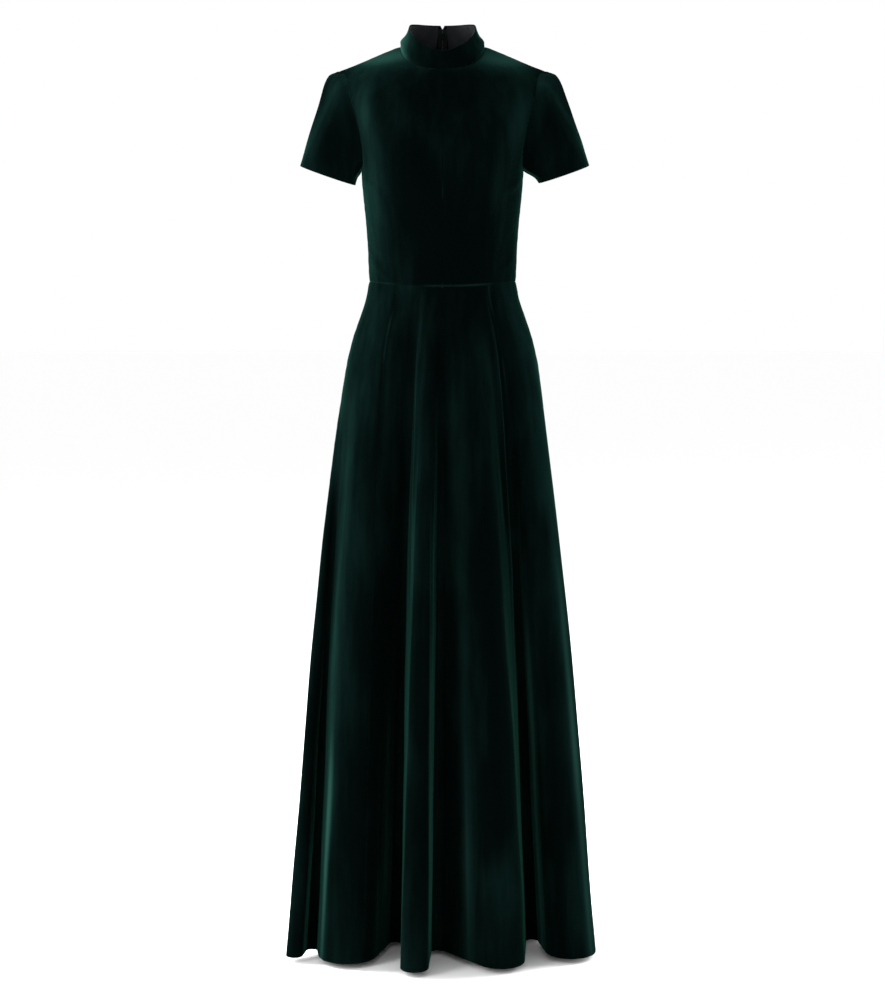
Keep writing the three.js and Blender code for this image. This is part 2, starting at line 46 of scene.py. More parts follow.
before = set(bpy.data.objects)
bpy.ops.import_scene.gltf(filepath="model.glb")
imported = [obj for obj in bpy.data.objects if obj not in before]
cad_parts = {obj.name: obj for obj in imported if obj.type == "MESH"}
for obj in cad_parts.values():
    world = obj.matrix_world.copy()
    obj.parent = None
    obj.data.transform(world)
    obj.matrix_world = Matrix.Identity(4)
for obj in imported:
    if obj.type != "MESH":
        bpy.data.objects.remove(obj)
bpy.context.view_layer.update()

MM = 0.001
SIDES = {"right": -1, "left": 1}


def table(names, rows):
    """Named columns, as arrays, of a table written row by row."""
    return dict(zip(names.split(), np.array(rows, float).T))


# Heights in millimetres, and the level table's own numbers of the places that pieces meet at
HEM_Z = -1539
WAIST_Z = -393
ZIP_END = 0.13
UNDERARM = 4
SHOULDER = 8
FRONT_NECK = 7.12
BACK_NECK = 7.34
CENTRE_BY_UNDERARM = 3.3
NECK_SHARE = 0.4
UNDERARM_STEP = 0.4
NECK_STEP = 0.8

# Bodice, from the waist up to the shoulder line: centre front and centre back by height and depth, the
# side by place, how full the quarter between them is, and how far it straightens into the shoulder line.
LEVELS = table("level frontZ front backZ back sideX sideY sideZ full straight", [
    [0, -401, 88, -393, 80, 123.5, 0, -393, 1.66, 0],
    [1, -330, 98, -330, 93, 126, 1, -330, 1.68, 0],
    [2, -285, 108, -285, 101, 129.5, 2, -285, 1.7, 0],
    [3, -240, 116, -240, 108, 134, 4, -240, 1.72, 0],
    [UNDERARM, -209, 116, -209, 111, 136, 5, -209, 1.76, 0],
    [5, -160, 106, -155, 112, 146, 5, -160, 1.84, 0],
    [6, -108, 88, -88, 102, 160, 5, -108, 1.9, 0],
    [7, -56, 68, -24, 76, 172, 5, -68, 1.7, 0.3],
    [SHOULDER, 10, -5, 10, 5, 177, 5, -46, 1.4, 1],
])
ARMHOLE = table("step share level", [
    [0, 1, UNDERARM],
    [0.14, 0.87, 4.1],
    [0.32, 0.765, 4.75],
    [0.55, 0.735, 5.75],
    [0.78, 0.8, 6.85],
    [1, 1, SHOULDER],
])
BUST = {"x": 82, "z": -225, "radius": 48, "rise": 8, "fade": 4}

# Sleeves: the middle of each hem and its half widths, then the directions that both share
SLEEVES = {
    "right": {"x": 192, "z": -217, "across": 49, "deep": 51},
    "left": {"x": 203, "z": -215, "across": 45, "deep": 55},
}
SLEEVE_WAYS = {
    "outward": (0.945, 0, 0.327),
    "forward": (0, -0.997, -0.08),
    "hang": (0.3, 0, -0.954),
    "cap_top": (0.92, 0, -0.4),
    "under_arm": (0.7, 0, -0.71),
}
CAP_REACH = 68
UNDER_REACH = 20

# Collar top, from the centre back round to the centre front
COLLAR_TOP = table("step x y z", [
    [0, 0, 50, 36],
    [0.5, 40, 36, 36],
    [0.85, 54, 15, 33],
    [1.1, 56, -4, 24],
    [1.5, 41, -36, 0],
    [2, 0, -51, -17],
])
COLLAR = {"slit": 1.8, "notch": 3.2, "notch_reach": 0.16, "notch_from": 0.87, "hollow": 1.5}

# Skirt, by share of its drop: the half width, and the depths in front and behind, of its plain level
DROP = table("share side front back", [
    [0, 123.5, 88, 80],
    [0.028, 130, 93, 92],
    [0.056, 141, 99, 104],
    [0.086, 152, 104, 114],
    [0.12, 161, 108, 121],
    [0.175, 171, 111, 129],
    [0.25, 181, 110, 134],
    [0.4, 199, 105, 137],
    [0.6, 218, 96, 134],
    [0.8, 233, 87, 130],
    [1, 249, 80, 126],
])

# Folds at the hem, round from the centre back by the wearer's right: the share of the waist each falls
# from, its centre, its radius (furrows turn in, below 0) and the share of the drop it starts at
FOLDS = table("girth x y turn start", [
    [0, 2, 126, -11, 0.1],
    [0.045, -49, 202, 27, 0.1],
    [0.085, -98, 101, -11, 0.1],
    [0.125, -151, 170, 34, 0.12],
    [0.165, -183, 55, -10, 0.12],
    [0.2, -236, 77, 25, 0.14],
    [0.235, -218, -9, -9, 0.16],
    [0.268, -253, -66, 15, 0.18],
    [0.297, -225, -45, -9, 0.18],
    [0.375, -162, -61, 51, 0.12],
    [0.449, -82, -8, -10, 0.05],
    [0.477, -47, -130, 24, 0.05],
    [0.5, -7, -53, -12, 0.04],
    [0.549, 98, -94, 42, 0.02],
    [0.6, 156, 5, -10, 0.01],
    [0.67, 220, -43, 44, 0.06],
    [0.775, 198, 36, -10, 0.14],
    [0.81, 243, 90, 23, 0.14],
    [0.845, 168, 94, -11, 0.12],
    [0.885, 132, 187, 36, 0.12],
    [0.92, 81, 104, -11, 0.1],
    [0.96, 47, 208, 26, 0.1],
])
FOLD_GROWTH = 0.85

# Gores of one half, from the centre back to the centre front: where each begins and ends as a share of the
# girth, and its flat cut, as its widths at the waist and the hem and its length, in metres
HALF = {
    "back": (0, 0.125, 0.080, 0.440, 1.155),
    "side_back": (0.125, 0.25, 0.086, 0.390, 1.155),
    "side_front": (0.25, 0.395, 0.092, 0.240, 1.155),
    "front": (0.395, 0.5, 0.076, 0.370, 1.150),
}
GORES = {f"skirt_{part}_right": row for part, row in HALF.items()} | {
    f"skirt_{part}_left": (1 - last, 1 - first, *flat)
    for part, (first, last, *flat) in reversed(HALF.items())
}

# Flat cuts of the other cloth pieces, in metres
CUTS = {
    "bodice_front": {"flat": (0.260, 0.430), "area": 0.070},
    "bodice_back": {"flat": (0.240, 0.440), "area": 0.072},
    "sleeve": {"flat": (0.350, 0.230), "area": 0.036},
    "collar": {"flat": (0.350, 0.062), "area": 0.016},
    "collar_lining": {"flat": (0.320, 0.055), "area": 0.013},
    "zip_tape": {"flat": (0.010, 0.600), "area": 0.0044},
}

# Creases down the skirt: the share of the girth that each starts from, how far it drifts round, the shares
# of the drop that it begins and fades at, its half width and its height, below 0 for a trough
SKIRT_CREASES = table("girth drift start end width height", [
    [0.449, 0, -0.12, 0.5, 8, -3.2],
    [0.464, 0, -0.1, 0.45, 6, 2.6],
    [0.5, 0, -0.05, 0.4, 8, -2.4],
    [0.516, 0, -0.1, 0.5, 7, 2.6],
    [0.591, 0, -0.12, 0.6, 6, 2.6],
    [0.607, 0, -0.12, 0.5, 8, -3],
    [0.39, 0, -0.1, 0.3, 6, 1.8],
    [0.018, 0.004, 0.05, 0.75, 9, 2.2],
    [0.03, -0.004, 0.35, 0.98, 7, -1.6],
    [0.066, 0.006, 0.02, 0.42, 8, -1.8],
    [0.102, -0.004, 0.18, 0.9, 10, 2.4],
    [0.143, 0.003, 0.3, 0.95, 8, -1.8],
    [0.152, -0.006, 0.04, 0.5, 9, 1.8],
    [0.186, 0.004, 0.22, 0.85, 8, 1.9],
    [0.222, -0.003, 0.4, 1, 7, -1.6],
    [0.252, 0.006, 0.06, 0.55, 10, 1.9],
    [0.285, 0.002, 0.45, 0.95, 6, 1.6],
    [0.318, 0.004, 0.1, 0.6, 10, -1.8],
    [0.334, 0.012, 0.5, 1.05, 9, 2],
    [0.352, -0.004, 0.14, 0.5, 7, 1.6],
    [0.372, 0.004, 0.55, 1.05, 10, -2],
    [0.392, 0.004, 0.28, 0.8, 7, 1.8],
    [0.41, 0.006, 0.03, 0.34, 7, 1.5],
    [0.424, 0.002, 0.5, 1, 8, 2],
    [0.463, 0.001, 0.12, 0.5, 5, -1.2],
    [0.489, -0.002, 0.2, 0.62, 4, 1.4],
    [0.512, 0.002, 0.06, 0.46, 6, 1.5],
    [0.526, 0.006, 0.42, 0.98, 9, -1.8],
    [0.541, -0.006, 0.12, 0.6, 8, 1.6],
    [0.562, 0.004, 0.5, 1.05, 10, 2],
    [0.58, 0.004, 0.05, 0.44, 6, -1.3],
    [0.615, 0.002, 0.2, 0.7, 7, 1.6],
    [0.634, 0.002, 0.45, 1, 9, -1.9],
    [0.652, -0.006, 0.08, 0.45, 9, 1.5],
    [0.69, 0.004, 0.3, 0.95, 9, 2],
    [0.722, -0.003, 0.1, 0.65, 9, -1.6],
    [0.748, 0.004, 0.35, 0.9, 7, 1.8],
    [0.792, 0.003, 0.12, 0.66, 8, 1.8],
    [0.826, -0.004, 0.4, 1, 8, -1.8],
    [0.862, 0.004, 0.06, 0.5, 9, 2],
    [0.9, 0.002, 0.3, 0.92, 9, -2],
    [0.938, -0.004, 0.04, 0.6, 9, 1.9],
    [0.978, 0.003, 0.25, 0.95, 8, 2.1],
])

# Creases on the bodice, as seen from the front or the back: both ends, half width and height
BODICE_CREASES = {
    True: table("x0 z0 x1 z1 width height", [
        [-132, -222, -92, -262, 5, 2],
        [-128, -240, -84, -246, 5, -1.8],
        [-122, -352, -88, -392, 6, 2.2],
        [-118, -340, -96, -372, 4, -1.6],
        [-126, -300, -96, -312, 6, 1.4],
        [-124, -150, -96, -205, 7, -1.6],
        [-118, -118, -66, -168, 11, 1.6],
        [-84, -62, -44, -96, 9, 1.2],
        [130, -224, 100, -258, 5, 1.8],
        [128, -246, 96, -262, 5, -1.5],
        [121, -348, 96, -380, 6, 2],
        [122, -300, 98, -318, 6, 1.3],
        [122, -140, 100, -196, 7, -1.5],
        [104, -96, 62, -150, 11, 1.5],
        [76, -58, 42, -90, 9, 1.1],
        [-60, -366, -22, -384, 6, 1],
        [24, -372, 58, -362, 6, 1],
    ]),
    False: table("x0 z0 x1 z1 width height", [
        [-128, -220, -84, -252, 6, 2],
        [-120, -300, -84, -322, 7, 1.8],
        [-112, -344, -62, -368, 6, 1.8],
        [-96, -366, -40, -380, 5, -1.4],
        [-118, -130, -84, -190, 9, -1.7],
        [-76, -42, -40, -84, 9, 1.3],
        [128, -226, 88, -250, 6, 1.9],
        [118, -292, 80, -324, 7, 1.9],
        [108, -348, 58, -364, 6, 1.7],
        [92, -370, 38, -378, 5, -1.4],
        [116, -128, 82, -186, 9, -1.6],
        [74, -44, 36, -88, 9, 1.2],
    ]),
}
# Darts in front and behind: place, lean and top, then the shape that both share, in half widths and heights
DARTS = {
    True: {"x": 76, "lean": 0.02, "top": -246},
    False: {"x": 66, "lean": 0.03, "top": -228},
}
DART_SHAPE = {"ridge": 2.2, "ridge_width": 14, "groove": 1.4, "groove_width": 1.8, "point": 60}

# Creases on a sleeve: share of the way round from the underarm, drift, shares of the fall, width, height
SLEEVE_CREASES = table("girth drift start end width height", [
    [0.07, 0.03, 0.1, 0.9, 5, 1.8],
    [0.13, 0.02, 0, 0.7, 5, -1.5],
    [0.21, -0.02, 0.15, 1, 8, 1.5],
    [0.33, 0.03, 0.3, 1.05, 9, 1.2],
    [0.46, -0.01, 0, 0.4, 7, 1],
    [0.62, 0.02, 0.25, 1, 9, 1.2],
    [0.76, 0.02, 0.2, 1, 8, 1.5],
    [0.88, -0.02, 0, 0.75, 5, -1.5],
    [0.94, -0.03, 0.1, 0.85, 5, 1.7],
])

# The centre front seam's painted highlight shows only where the seam catches the light: the middle and
# half height of each such stretch, and what hides it elsewhere, as millimetres added to the distance
# from it over a half width
CENTRE_SEAM_SHOWN = [(-71, 16), (-236, 38)]
HUSH = {"added": 4, "half_width": 6, "clear_of_waist": (2, 6)}

# Fullness beyond the solids: a sleeve's head, by turns and share of the fall, and the collar's foot, by how
# far it lies aside and up
CAP = {"in": (0.18, 0.42), "out": (0.58, 0.82), "full": 4.5, "fall": 0.2, "edges": 14}
CAP_EASE = {"high": 0.2, "pitch": 13, "down": 4, "reach": 13}
COLLAR_FOOT = {"full": 3.5, "aside": (36, 58), "up": 9, "edges": 7}
# Painted highlight at both sides of the collar: its height, place and half width, and where it goes
# towards the back
COLLAR_PAINTED_HIGHLIGHT = [(3.2, -74, 20), (1.2, 74, 16)]
PAINTED_HIGHLIGHT_FADES = (-10, 40)

# Painted light and shade: places painted lighter where light falls on the velvet, or darker, below 0, where
# shade lies. On the skirt they run down it as its creases do; on the bodice they are soft ovals as seen from
# the front or the back
SKIRT_PAINTED_SHADING = table("girth drift start end width height", [
    [0.01, 0, 0.1, 1.2, 18, -0.4],
    [0.045, 0, 0.1, 1.3, 20, 0.5],
    [0.085, 0.004, 0.15, 1.2, 20, -0.5],
    [0.122, -0.003, 0.05, 1.3, 24, 0.5],
    [0.165, 0, 0.2, 1.3, 18, -0.5],
    [0.205, 0.004, 0.1, 1.1, 20, 0.5],
    [0.238, 0, 0.3, 1.3, 18, -0.4],
    [0.28, 0, 0.2, 1.3, 18, -0.4],
    [0.334, -0.01, 0.02, 1.4, 17, 0.9],
    [0.352, -0.014, 0.5, 1.4, 10, 2.1],
    [0.355, 0.01, -0.1, 0.45, 22, 0.3],
    [0.392, 0.004, 0.12, 1.3, 26, -0.6],
    [0.422, 0.006, 0.2, 1.3, 26, -1],
    [0.468, -0.002, -0.1, 0.5, 14, 0.3],
    [0.521, 0.002, -0.1, 1.3, 15, 0.7],
    [0.521, 0.002, 0.55, 1.4, 12, 1.1],
    [0.548, 0.004, 0.25, 0.85, 22, -1.6],
    [0.57, 0.004, 0.05, 1.2, 26, -0.5],
    [0.613, 0.006, 0.3, 1.4, 13, 2.8],
    [0.66, 0, -0.1, 0.35, 18, 0.4],
    [0.648, 0.002, 0.4, 1.3, 12, -0.8],
    [0.677, 0.002, 0.15, 1.4, 13, 1.7],
    [0.712, 0.006, 0.2, 1.3, 18, 0.5],
    [0.742, 0, 0.3, 1.3, 18, -0.4],
    [0.8, 0.003, 0.1, 1.2, 20, 0.5],
    [0.84, 0, 0.15, 1.3, 18, -0.5],
    [0.88, 0.003, 0.05, 1.3, 22, 0.5],
    [0.92, 0, 0.2, 1.2, 20, -0.5],
    [0.958, 0, 0.1, 1.3, 20, 0.5],
])
BODICE_PAINTED_SHADING = {
    True: table("x z wide high height", [
        [-112, -300, 15, 85, 0.9],
        [-118, -205, 14, 45, 0.7],
        [-128, -120, 11, 55, 1],
        [-76, -133, 15, 42, 0.5],
        [-104, -26, 50, 16, 1.9],
        [-58, -14, 20, 16, 1.1],
        [104, -30, 50, 16, 1.7],
        [58, -14, 20, 16, 0.8],
        [126, -128, 10, 52, 0.8],
        [104, -322, 13, 75, 0.6],
        [66, -96, 18, 36, 0.3],
        [10, -318, 62, 75, -0.9],
        [-40, -230, 36, 44, -0.5],
        [-14, -76, 34, 26, -0.3],
    ]),
    False: table("x z wide high height", [
        [-110, -290, 16, 85, 0.8],
        [-124, -124, 14, 58, 0.8],
        [-104, -30, 60, 26, 0.9],
        [-58, -14, 26, 20, 0.5],
        [104, -32, 60, 26, 0.9],
        [58, -14, 26, 20, 0.5],
        [124, -120, 13, 56, 0.8],
        [106, -310, 15, 80, 0.7],
        [-34, -300, 38, 70, -0.6],
        [38, -240, 36, 80, -0.6],
        [-48, -118, 26, 42, 0.3],
        [52, -140, 24, 40, 0.3],
    ]),
}

# Grids: columns a gore and rows of the skirt, millimetres of the hem's run that a radian of its turn counts
# for, columns and rows of a bodice panel, how far from the waist seam normals are levelled, how far from an
# edge creases begin to fade, and lines close beside the skirt's seams, as shares of a gore's width, and its
# edges, in millimetres
GORE_COLUMNS = 72
SKIRT_ROWS = 130
TURN_WEIGHT = 60
PANEL_COLUMNS = 64
PANEL_ROWS = (52, 48, 30)
LEVELLED = 14
CREASES_END = 9
SEAM_STEPS = (0.0009, 0.0022, 0.004, 0.0065, 0.0105, 0.017, 0.027)
EDGE_STEPS = (0.4, 0.9, 1.6, 2.6, 4.2)

# Collar lining and zip, in millimetres from the cloth's outer face
LINING = {"start": 0.085, "lap": 0.9, "lap_reach": 13, "foot": 0.04, "head": 0.97, "depth": 2.8,
          "thick": 0.8}
TAPE = {"from": 0.06, "to": 7.8, "depth": 2.9, "thick": 0.6, "aside": 0.8, "aside_reach": 7}
COIL = {"pitch": 1.2, "across": 0.62, "deep": 0.5, "wire": 0.3, "off": 0.5, "depth": 3.4, "room": 3.5,
        "points": 8}

# Rounded free edges: how much of the wall they take on each face, how far a turn-up's step spreads, and the
# half width of the mark of its stitches
EDGE = {"rounded": 0.48, "step": 2, "mark_width": 1.5}

# Lights: place, width and height, and the point each faces
LIGHTS = {
    "left": ((-2.5, 0.6, 0.1), (1.2, 2.6), (0, 0, -0.7)),
    "right": ((2.5, 0.6, 0), (1.2, 2.6), (0, 0, -0.7)),
    "front": ((-2.3, -1.7, 0.3), (1, 2.2), (0.05, 0, -0.8)),
    "top": ((-0.4, 0.7, 1.9), (1.6, 1), (0, 0, -0.2)),
}
CAMERA = {"place": (0, -3.270, -0.424), "tilt": 5.916, "reach_px": 1930, "frame_px": (885, 1000)}
FLOOR_Z = -1.549


# Curves and surfaces


def mix(a, b, share):
    """From a to b, in proportion to share."""
    return a + (b - a) * share


def smooth(low, high, value):
    """0 up to low, 1 from high on, and 3w2 - 2w3 of the share w of the way in between."""
    w = np.clip((value - low) / (high - low), 0, 1)
    return w * w * (3 - 2 * w)


def bell(distance, width):
    """exp(-(distance / width)2): 1 in the middle and fading to both sides."""
    return np.exp(-((distance / width) ** 2))


def hermite(a, leaving, b, arriving, w):
    """Cubic from a to b over w from 0 to 1, with the given slopes at its ends."""
    at_a = 2 * w**3 - 3 * w**2 + 1
    return a * at_a + leaving * (w**3 - 2 * w**2 + w) + b * (1 - at_a) + arriving * (w**3 - w**2)


def column(rows, along, key, flat_start=False, flat_end=False):
    """A curve through one column of a table: cubics whose slope at a row is the harmonic mean of the rises
    on its two sides, or 0 where they differ in sign."""
    x = rows[along]
    y = rows[key]
    rise = np.diff(y) / np.diff(x)
    product = rise[:-1] * rise[1:]
    total = np.where(product > 0, rise[:-1] + rise[1:], 1)
    ends = (0 if flat_start else rise[0], 0 if flat_end else rise[-1])
    slope = np.concatenate([[ends[0]], np.where(product > 0, 2 * product / total, 0), [ends[1]]])

    def at(value):
        i = np.clip(np.searchsorted(x, value) - 1, 0, len(x) - 2)
        span = x[i + 1] - x[i]
        w = np.clip((value - x[i]) / span, 0, 1)
        return hermite(y[i], slope[i] * span, y[i + 1], slope[i + 1] * span, w)

    return at


def place(x, y, z):
    """Points from three arrays, or numbers, of coordinates."""
    return np.stack(np.broadcast_arrays(x, y, z), -1).astype(float)


def quarter(centre, side, full, straight, share):
    """One quarter of a level, from its centre line to its side: a cubic that leaves sideways and arrives
    from front to back, each as strongly as the quarter is full, or goes straight."""
    none = np.zeros(np.shape(share))
    leaving = place(mix(full, 1, straight) * side[..., 0], none, none)
    arriving = place(none, full * (side[..., 1] - centre[..., 1]), none)
    arriving = mix(arriving, side - centre, straight[..., None])
    return hermite(centre, leaving, side, arriving, share[..., None])


def unit(vectors):
    """Vectors of length 1."""
    return vectors / np.maximum(np.linalg.norm(vectors, axis=-1, keepdims=True), 1e-9)


def normal_of(surface, s, t, facing, tiny=1e-3):
    """The cross product of a surface's two slopes, each taken over a tiny step to both sides."""
    ds = surface(s + tiny, t) - surface(s - tiny, t)
    dt = surface(s, t + tiny) - surface(s, t - tiny)
    return unit(np.cross(ds, dt) * facing)


LEVEL = {key: column(LEVELS, "level", key, flat_end=key not in ("front", "back")) for key in LEVELS}
ARMHOLE_AT = {key: column(ARMHOLE, "step", key) for key in ("share", "level")}


def body(level, share, side, is_front):
    """The body's surface at a level and a share of the quarter. The bust's rise fades as a bell round its
    centre, and to nothing at the side seam."""
    level, share = np.broadcast_arrays(level, share)
    depth = -LEVEL["front"](level) if is_front else LEVEL["back"](level)
    centre = place(0, depth, LEVEL["frontZ" if is_front else "backZ"](level))
    flank = place(LEVEL["sideX"](level), LEVEL["sideY"](level), LEVEL["sideZ"](level))
    point = quarter(centre, flank, LEVEL["full"](level), LEVEL["straight"](level), share)
    if is_front:
        off = np.hypot(point[..., 0] - BUST["x"], point[..., 2] - BUST["z"])
        rise = BUST["rise"] * (1 - share ** BUST["fade"])
        point[..., 1] -= rise * bell(off, BUST["radius"] * np.sqrt(2))
    return point * (side, 1, 1)


def cut(s, t, is_front):
    """Where a panel's own steps lie, as a level and a share of the quarter: centre line and neckline are
    step 0 across, side seam and armhole 1, the waist 0 up and the shoulder seam 1. The neckline is a
    quarter of an ellipse."""
    neck = FRONT_NECK if is_front else BACK_NECK
    turn = np.clip((t - NECK_STEP) / (1 - NECK_STEP), 0, 1) * np.pi / 2
    past = (t - UNDERARM_STEP) / (NECK_STEP - UNDERARM_STEP)
    low = t < UNDERARM_STEP
    centre = np.where(low, CENTRE_BY_UNDERARM * t / UNDERARM_STEP, mix(CENTRE_BY_UNDERARM, neck, past))
    inner_level = np.where(t < NECK_STEP, centre, mix(neck, SHOULDER, 1 - np.cos(turn)))
    inner_share = NECK_SHARE * np.sin(turn)
    up = np.clip((t - UNDERARM_STEP) / (1 - UNDERARM_STEP), 0, 1)
    outer_level = np.where(low, UNDERARM * t / UNDERARM_STEP, ARMHOLE_AT["level"](up))
    outer_share = np.where(low, 1, ARMHOLE_AT["share"](up))
    return mix(inner_level, outer_level, s), mix(inner_share, outer_share, s)


def panel(s, t, side, is_front):
    """A bodice panel's place at its own steps."""
    return body(*cut(s, t, is_front), side, is_front)


def sleeve(turn, w, side, size):
    """A sleeve: cubics that leave the armhole outwards over the cap and down at the underarm, and arrive at
    an ellipse round the arm. Turn 0 is the underarm and 0.5 the shoulder."""
    turn = np.mod(turn, 1)
    turn, w = np.broadcast_arrays(turn, w)
    is_front = (turn <= 0.5)[..., None]
    up = mix(UNDERARM_STEP, 1, np.where(turn <= 0.5, turn * 2, 2 - turn * 2))
    one = np.ones_like(turn)
    start = np.where(is_front, panel(one, up, 1, True), panel(one, up, 1, False))
    angle = (turn * 2 * np.pi)[..., None]
    way = {key: np.array(value) for key, value in SLEEVE_WAYS.items()}
    end = (
        np.array((size["x"], 0, size["z"]))
        - way["outward"] * size["across"] * np.cos(angle)
        + way["forward"] * size["deep"] * np.sin(angle)
    )
    cap = (1 - np.cos(angle)) / 2
    leaving = way["cap_top"] * CAP_REACH * cap + way["under_arm"] * UNDER_REACH * (1 - cap)
    arriving = way["hang"] * np.linalg.norm(end - start, axis=-1, keepdims=True)
    return hermite(start, leaving, end, arriving, w[..., None]) * (side, 1, 1)


COLLAR_AT = {
    key: column(COLLAR_TOP, "step", key, flat_start=key != "x", flat_end=key != "x") for key in "xyz"
}


def collar(step, up):
    """The collar, step 0 to 4 from the centre back by the wearer's right, and up from 0 to 1: straight from
    the neckline to its top, drawn in a little half way and turned away beside the opening."""
    step, up = np.broadcast_arrays(step, up)
    side = np.where(step <= 2, -1, 1)
    from_back = np.where(step <= 2, step, 4 - step)
    is_front = from_back > 1
    along = np.clip(np.where(is_front, 2 - from_back, from_back), 0, 1)
    t = mix(NECK_STEP, 1, along)
    none = np.zeros_like(t)
    base = np.where(is_front[..., None], panel(none, t, 1, True), panel(none, t, 1, False))
    base = base * place(side, 1, 1)
    top = place(side * COLLAR_AT["x"](from_back), COLLAR_AT["y"](from_back), COLLAR_AT["z"](from_back))
    waisted = 1 - COLLAR["hollow"] * 4 * up * (1 - up) / np.linalg.norm(top, axis=-1)
    high = np.clip((up - COLLAR["notch_from"]) / (1 - COLLAR["notch_from"]), 0, 1)
    notch = high * np.clip(1 - from_back / COLLAR["notch_reach"], 0, 1)
    point = mix(base, top, up[..., None]) * place(waisted, waisted, 1)
    point[..., 0] += side * COLLAR["notch"] * notch
    return point


PLAIN = {key: column(DROP, "share", key) for key in ("side", "front", "back")}


def plain_skirt(girth, share):
    """The skirt without folds, at a share of the girth from the centre back and of the drop."""
    girth, share = np.broadcast_arrays(girth, share)
    side = np.where(girth < 0.5, -1, 1)
    is_front = (girth > 0.25) & (girth < 0.75)
    along = 4 * np.where(is_front, np.abs(girth - 0.5), np.minimum(girth, 1 - girth))
    dip = (LEVELS["frontZ"][0] - WAIST_Z) * (1 - share)
    depth = np.where(is_front, -PLAIN["front"](share), PLAIN["back"](share))
    centre = place(0, depth, np.where(is_front, dip, 0))
    flank = place(PLAIN["side"](share), 0, 0)
    full = np.full(girth.shape, LEVELS["full"][0])
    point = quarter(centre, flank, full, np.zeros(girth.shape), along) * place(side, 1, 1)
    point[..., 2] += mix(WAIST_Z, HEM_Z, share)
    return point


def hem_plan():
    """The hem's plan: a line round every fold's circle in turn, each joined to the next by their common
    tangent. Gives the place at a length of the line, and the length at the middle of each fold."""
    x, y, turn = FOLDS["x"], FOLDS["y"], FOLDS["turn"]
    dx, dy, dturn = (np.roll(value, -1) - value for value in (x, y, turn))
    reach = np.hypot(dx, dy)
    heading = np.arctan2(dy, dx) + np.arcsin(-dturn / reach)
    straight = np.sqrt(reach**2 - dturn**2)
    arrive = np.roll(heading, 1)
    swing = np.sign(turn)
    size = np.abs(turn)
    half = np.mod((heading - arrive) * swing, 2 * np.pi) / 2
    middle = arrive + swing * half
    arc = half * size
    at = np.concatenate([[0], np.cumsum(arc + straight + np.roll(arc, -1))])

    def on_arc(i, past):
        angle = middle[i] + swing[i] * past / size[i]
        return np.stack([x[i] + turn[i] * np.sin(angle), y[i] - turn[i] * np.cos(angle)], -1)

    def hem_at(distance):
        distance = np.mod(distance, at[-1])
        i = np.clip(np.searchsorted(at, distance, side="right") - 1, 0, len(x) - 1)
        after = (i + 1) % len(x)
        past = distance - at[i]
        on = np.clip((past - arc[i]) / straight[i], 0, 1)[..., None]
        before = on_arc(i, np.minimum(past, arc[i]))
        beyond = on_arc(after, np.maximum(past - arc[i] - straight[i], 0) - arc[after])
        return mix(before, beyond, on)

    return hem_at, at


HEM_AT, FOLD_LENGTHS = hem_plan()
ROUND = {
    "girth": np.append(FOLDS["girth"], 1),
    "at": FOLD_LENGTHS,
    "start": np.append(FOLDS["start"], FOLDS["start"][0]),
}
HEM_LENGTH = column(ROUND, "girth", "at")
FOLD_START = column(ROUND, "girth", "start")


def skirt(girth, share):
    """The skirt: its plain level, moved towards the hem's folds by how far each fold has opened."""
    girth, share = np.broadcast_arrays(np.mod(girth, 1), share)
    point = plain_skirt(girth, share)
    start = FOLD_START(girth)
    opened = np.clip((share - start) / (1 - start), 0, 1) ** FOLD_GROWTH
    end = HEM_AT(HEM_LENGTH(girth))
    flat = plain_skirt(girth, np.ones_like(share))
    point[..., :2] += opened[..., None] * (end - flat[..., :2])
    return point


# Grids


def eased(start, end, count, ease=0.85):
    """Steps from start to end that lie closer together at both ends: w - ease sin(2 pi w) / 2 pi."""
    w = np.linspace(0, 1, count + 1)
    return mix(start, end, w - ease * np.sin(2 * np.pi * w) / (2 * np.pi))


def joined(*stretches):
    """Several runs of steps as one, with the steps that they share kept once."""
    return np.unique(np.round(np.concatenate(stretches), 9))


def lengths(points, axis):
    """Running length along one axis of a grid of points, from 0."""
    step = np.linalg.norm(np.diff(points, axis=axis), axis=-1)
    pad = [(1, 0) if i == axis else (0, 0) for i in range(2)]
    return np.cumsum(np.pad(step, pad), axis=axis)


def edge_distances(points):
    """How far each point lies from a grid's edges, in millimetres: the first and the last line across, and
    the start and the end of every line."""
    across = lengths(points, 0)
    along = lengths(points, 1)
    return {"first": across, "last": across[-1:] - across, "start": along, "end": along[:, -1:] - along}


def ripple(length, pitch, seed):
    """Uneven waves along a length: three sines of unlike pitch and phase, at most about 1 high."""
    phase = np.random.default_rng(seed).uniform(0, 2 * np.pi, 3)
    turn = 2 * np.pi * length / pitch
    parts = zip([(1, 0.5), (1.62, 0.3), (0.43, 0.4)], phase)
    return sum(high * np.sin(turn * rate + start) for (rate, high), start in parts)


def drift(points, seed, size=90):
    """The slow unevenness of hung cloth: the mean of sines across the place, of about that size in width
    and twice that in height."""
    random = np.random.default_rng(seed)
    total = np.zeros(points.shape[:-1])
    count = 7
    for _ in range(count):
        way = unit(random.normal(size=3) * (1, 1, 0.45))
        wave = size * random.uniform(0.6, 1.7)
        total += np.sin(points @ way * 2 * np.pi / wave + random.uniform(0, 2 * np.pi))
    return total / count


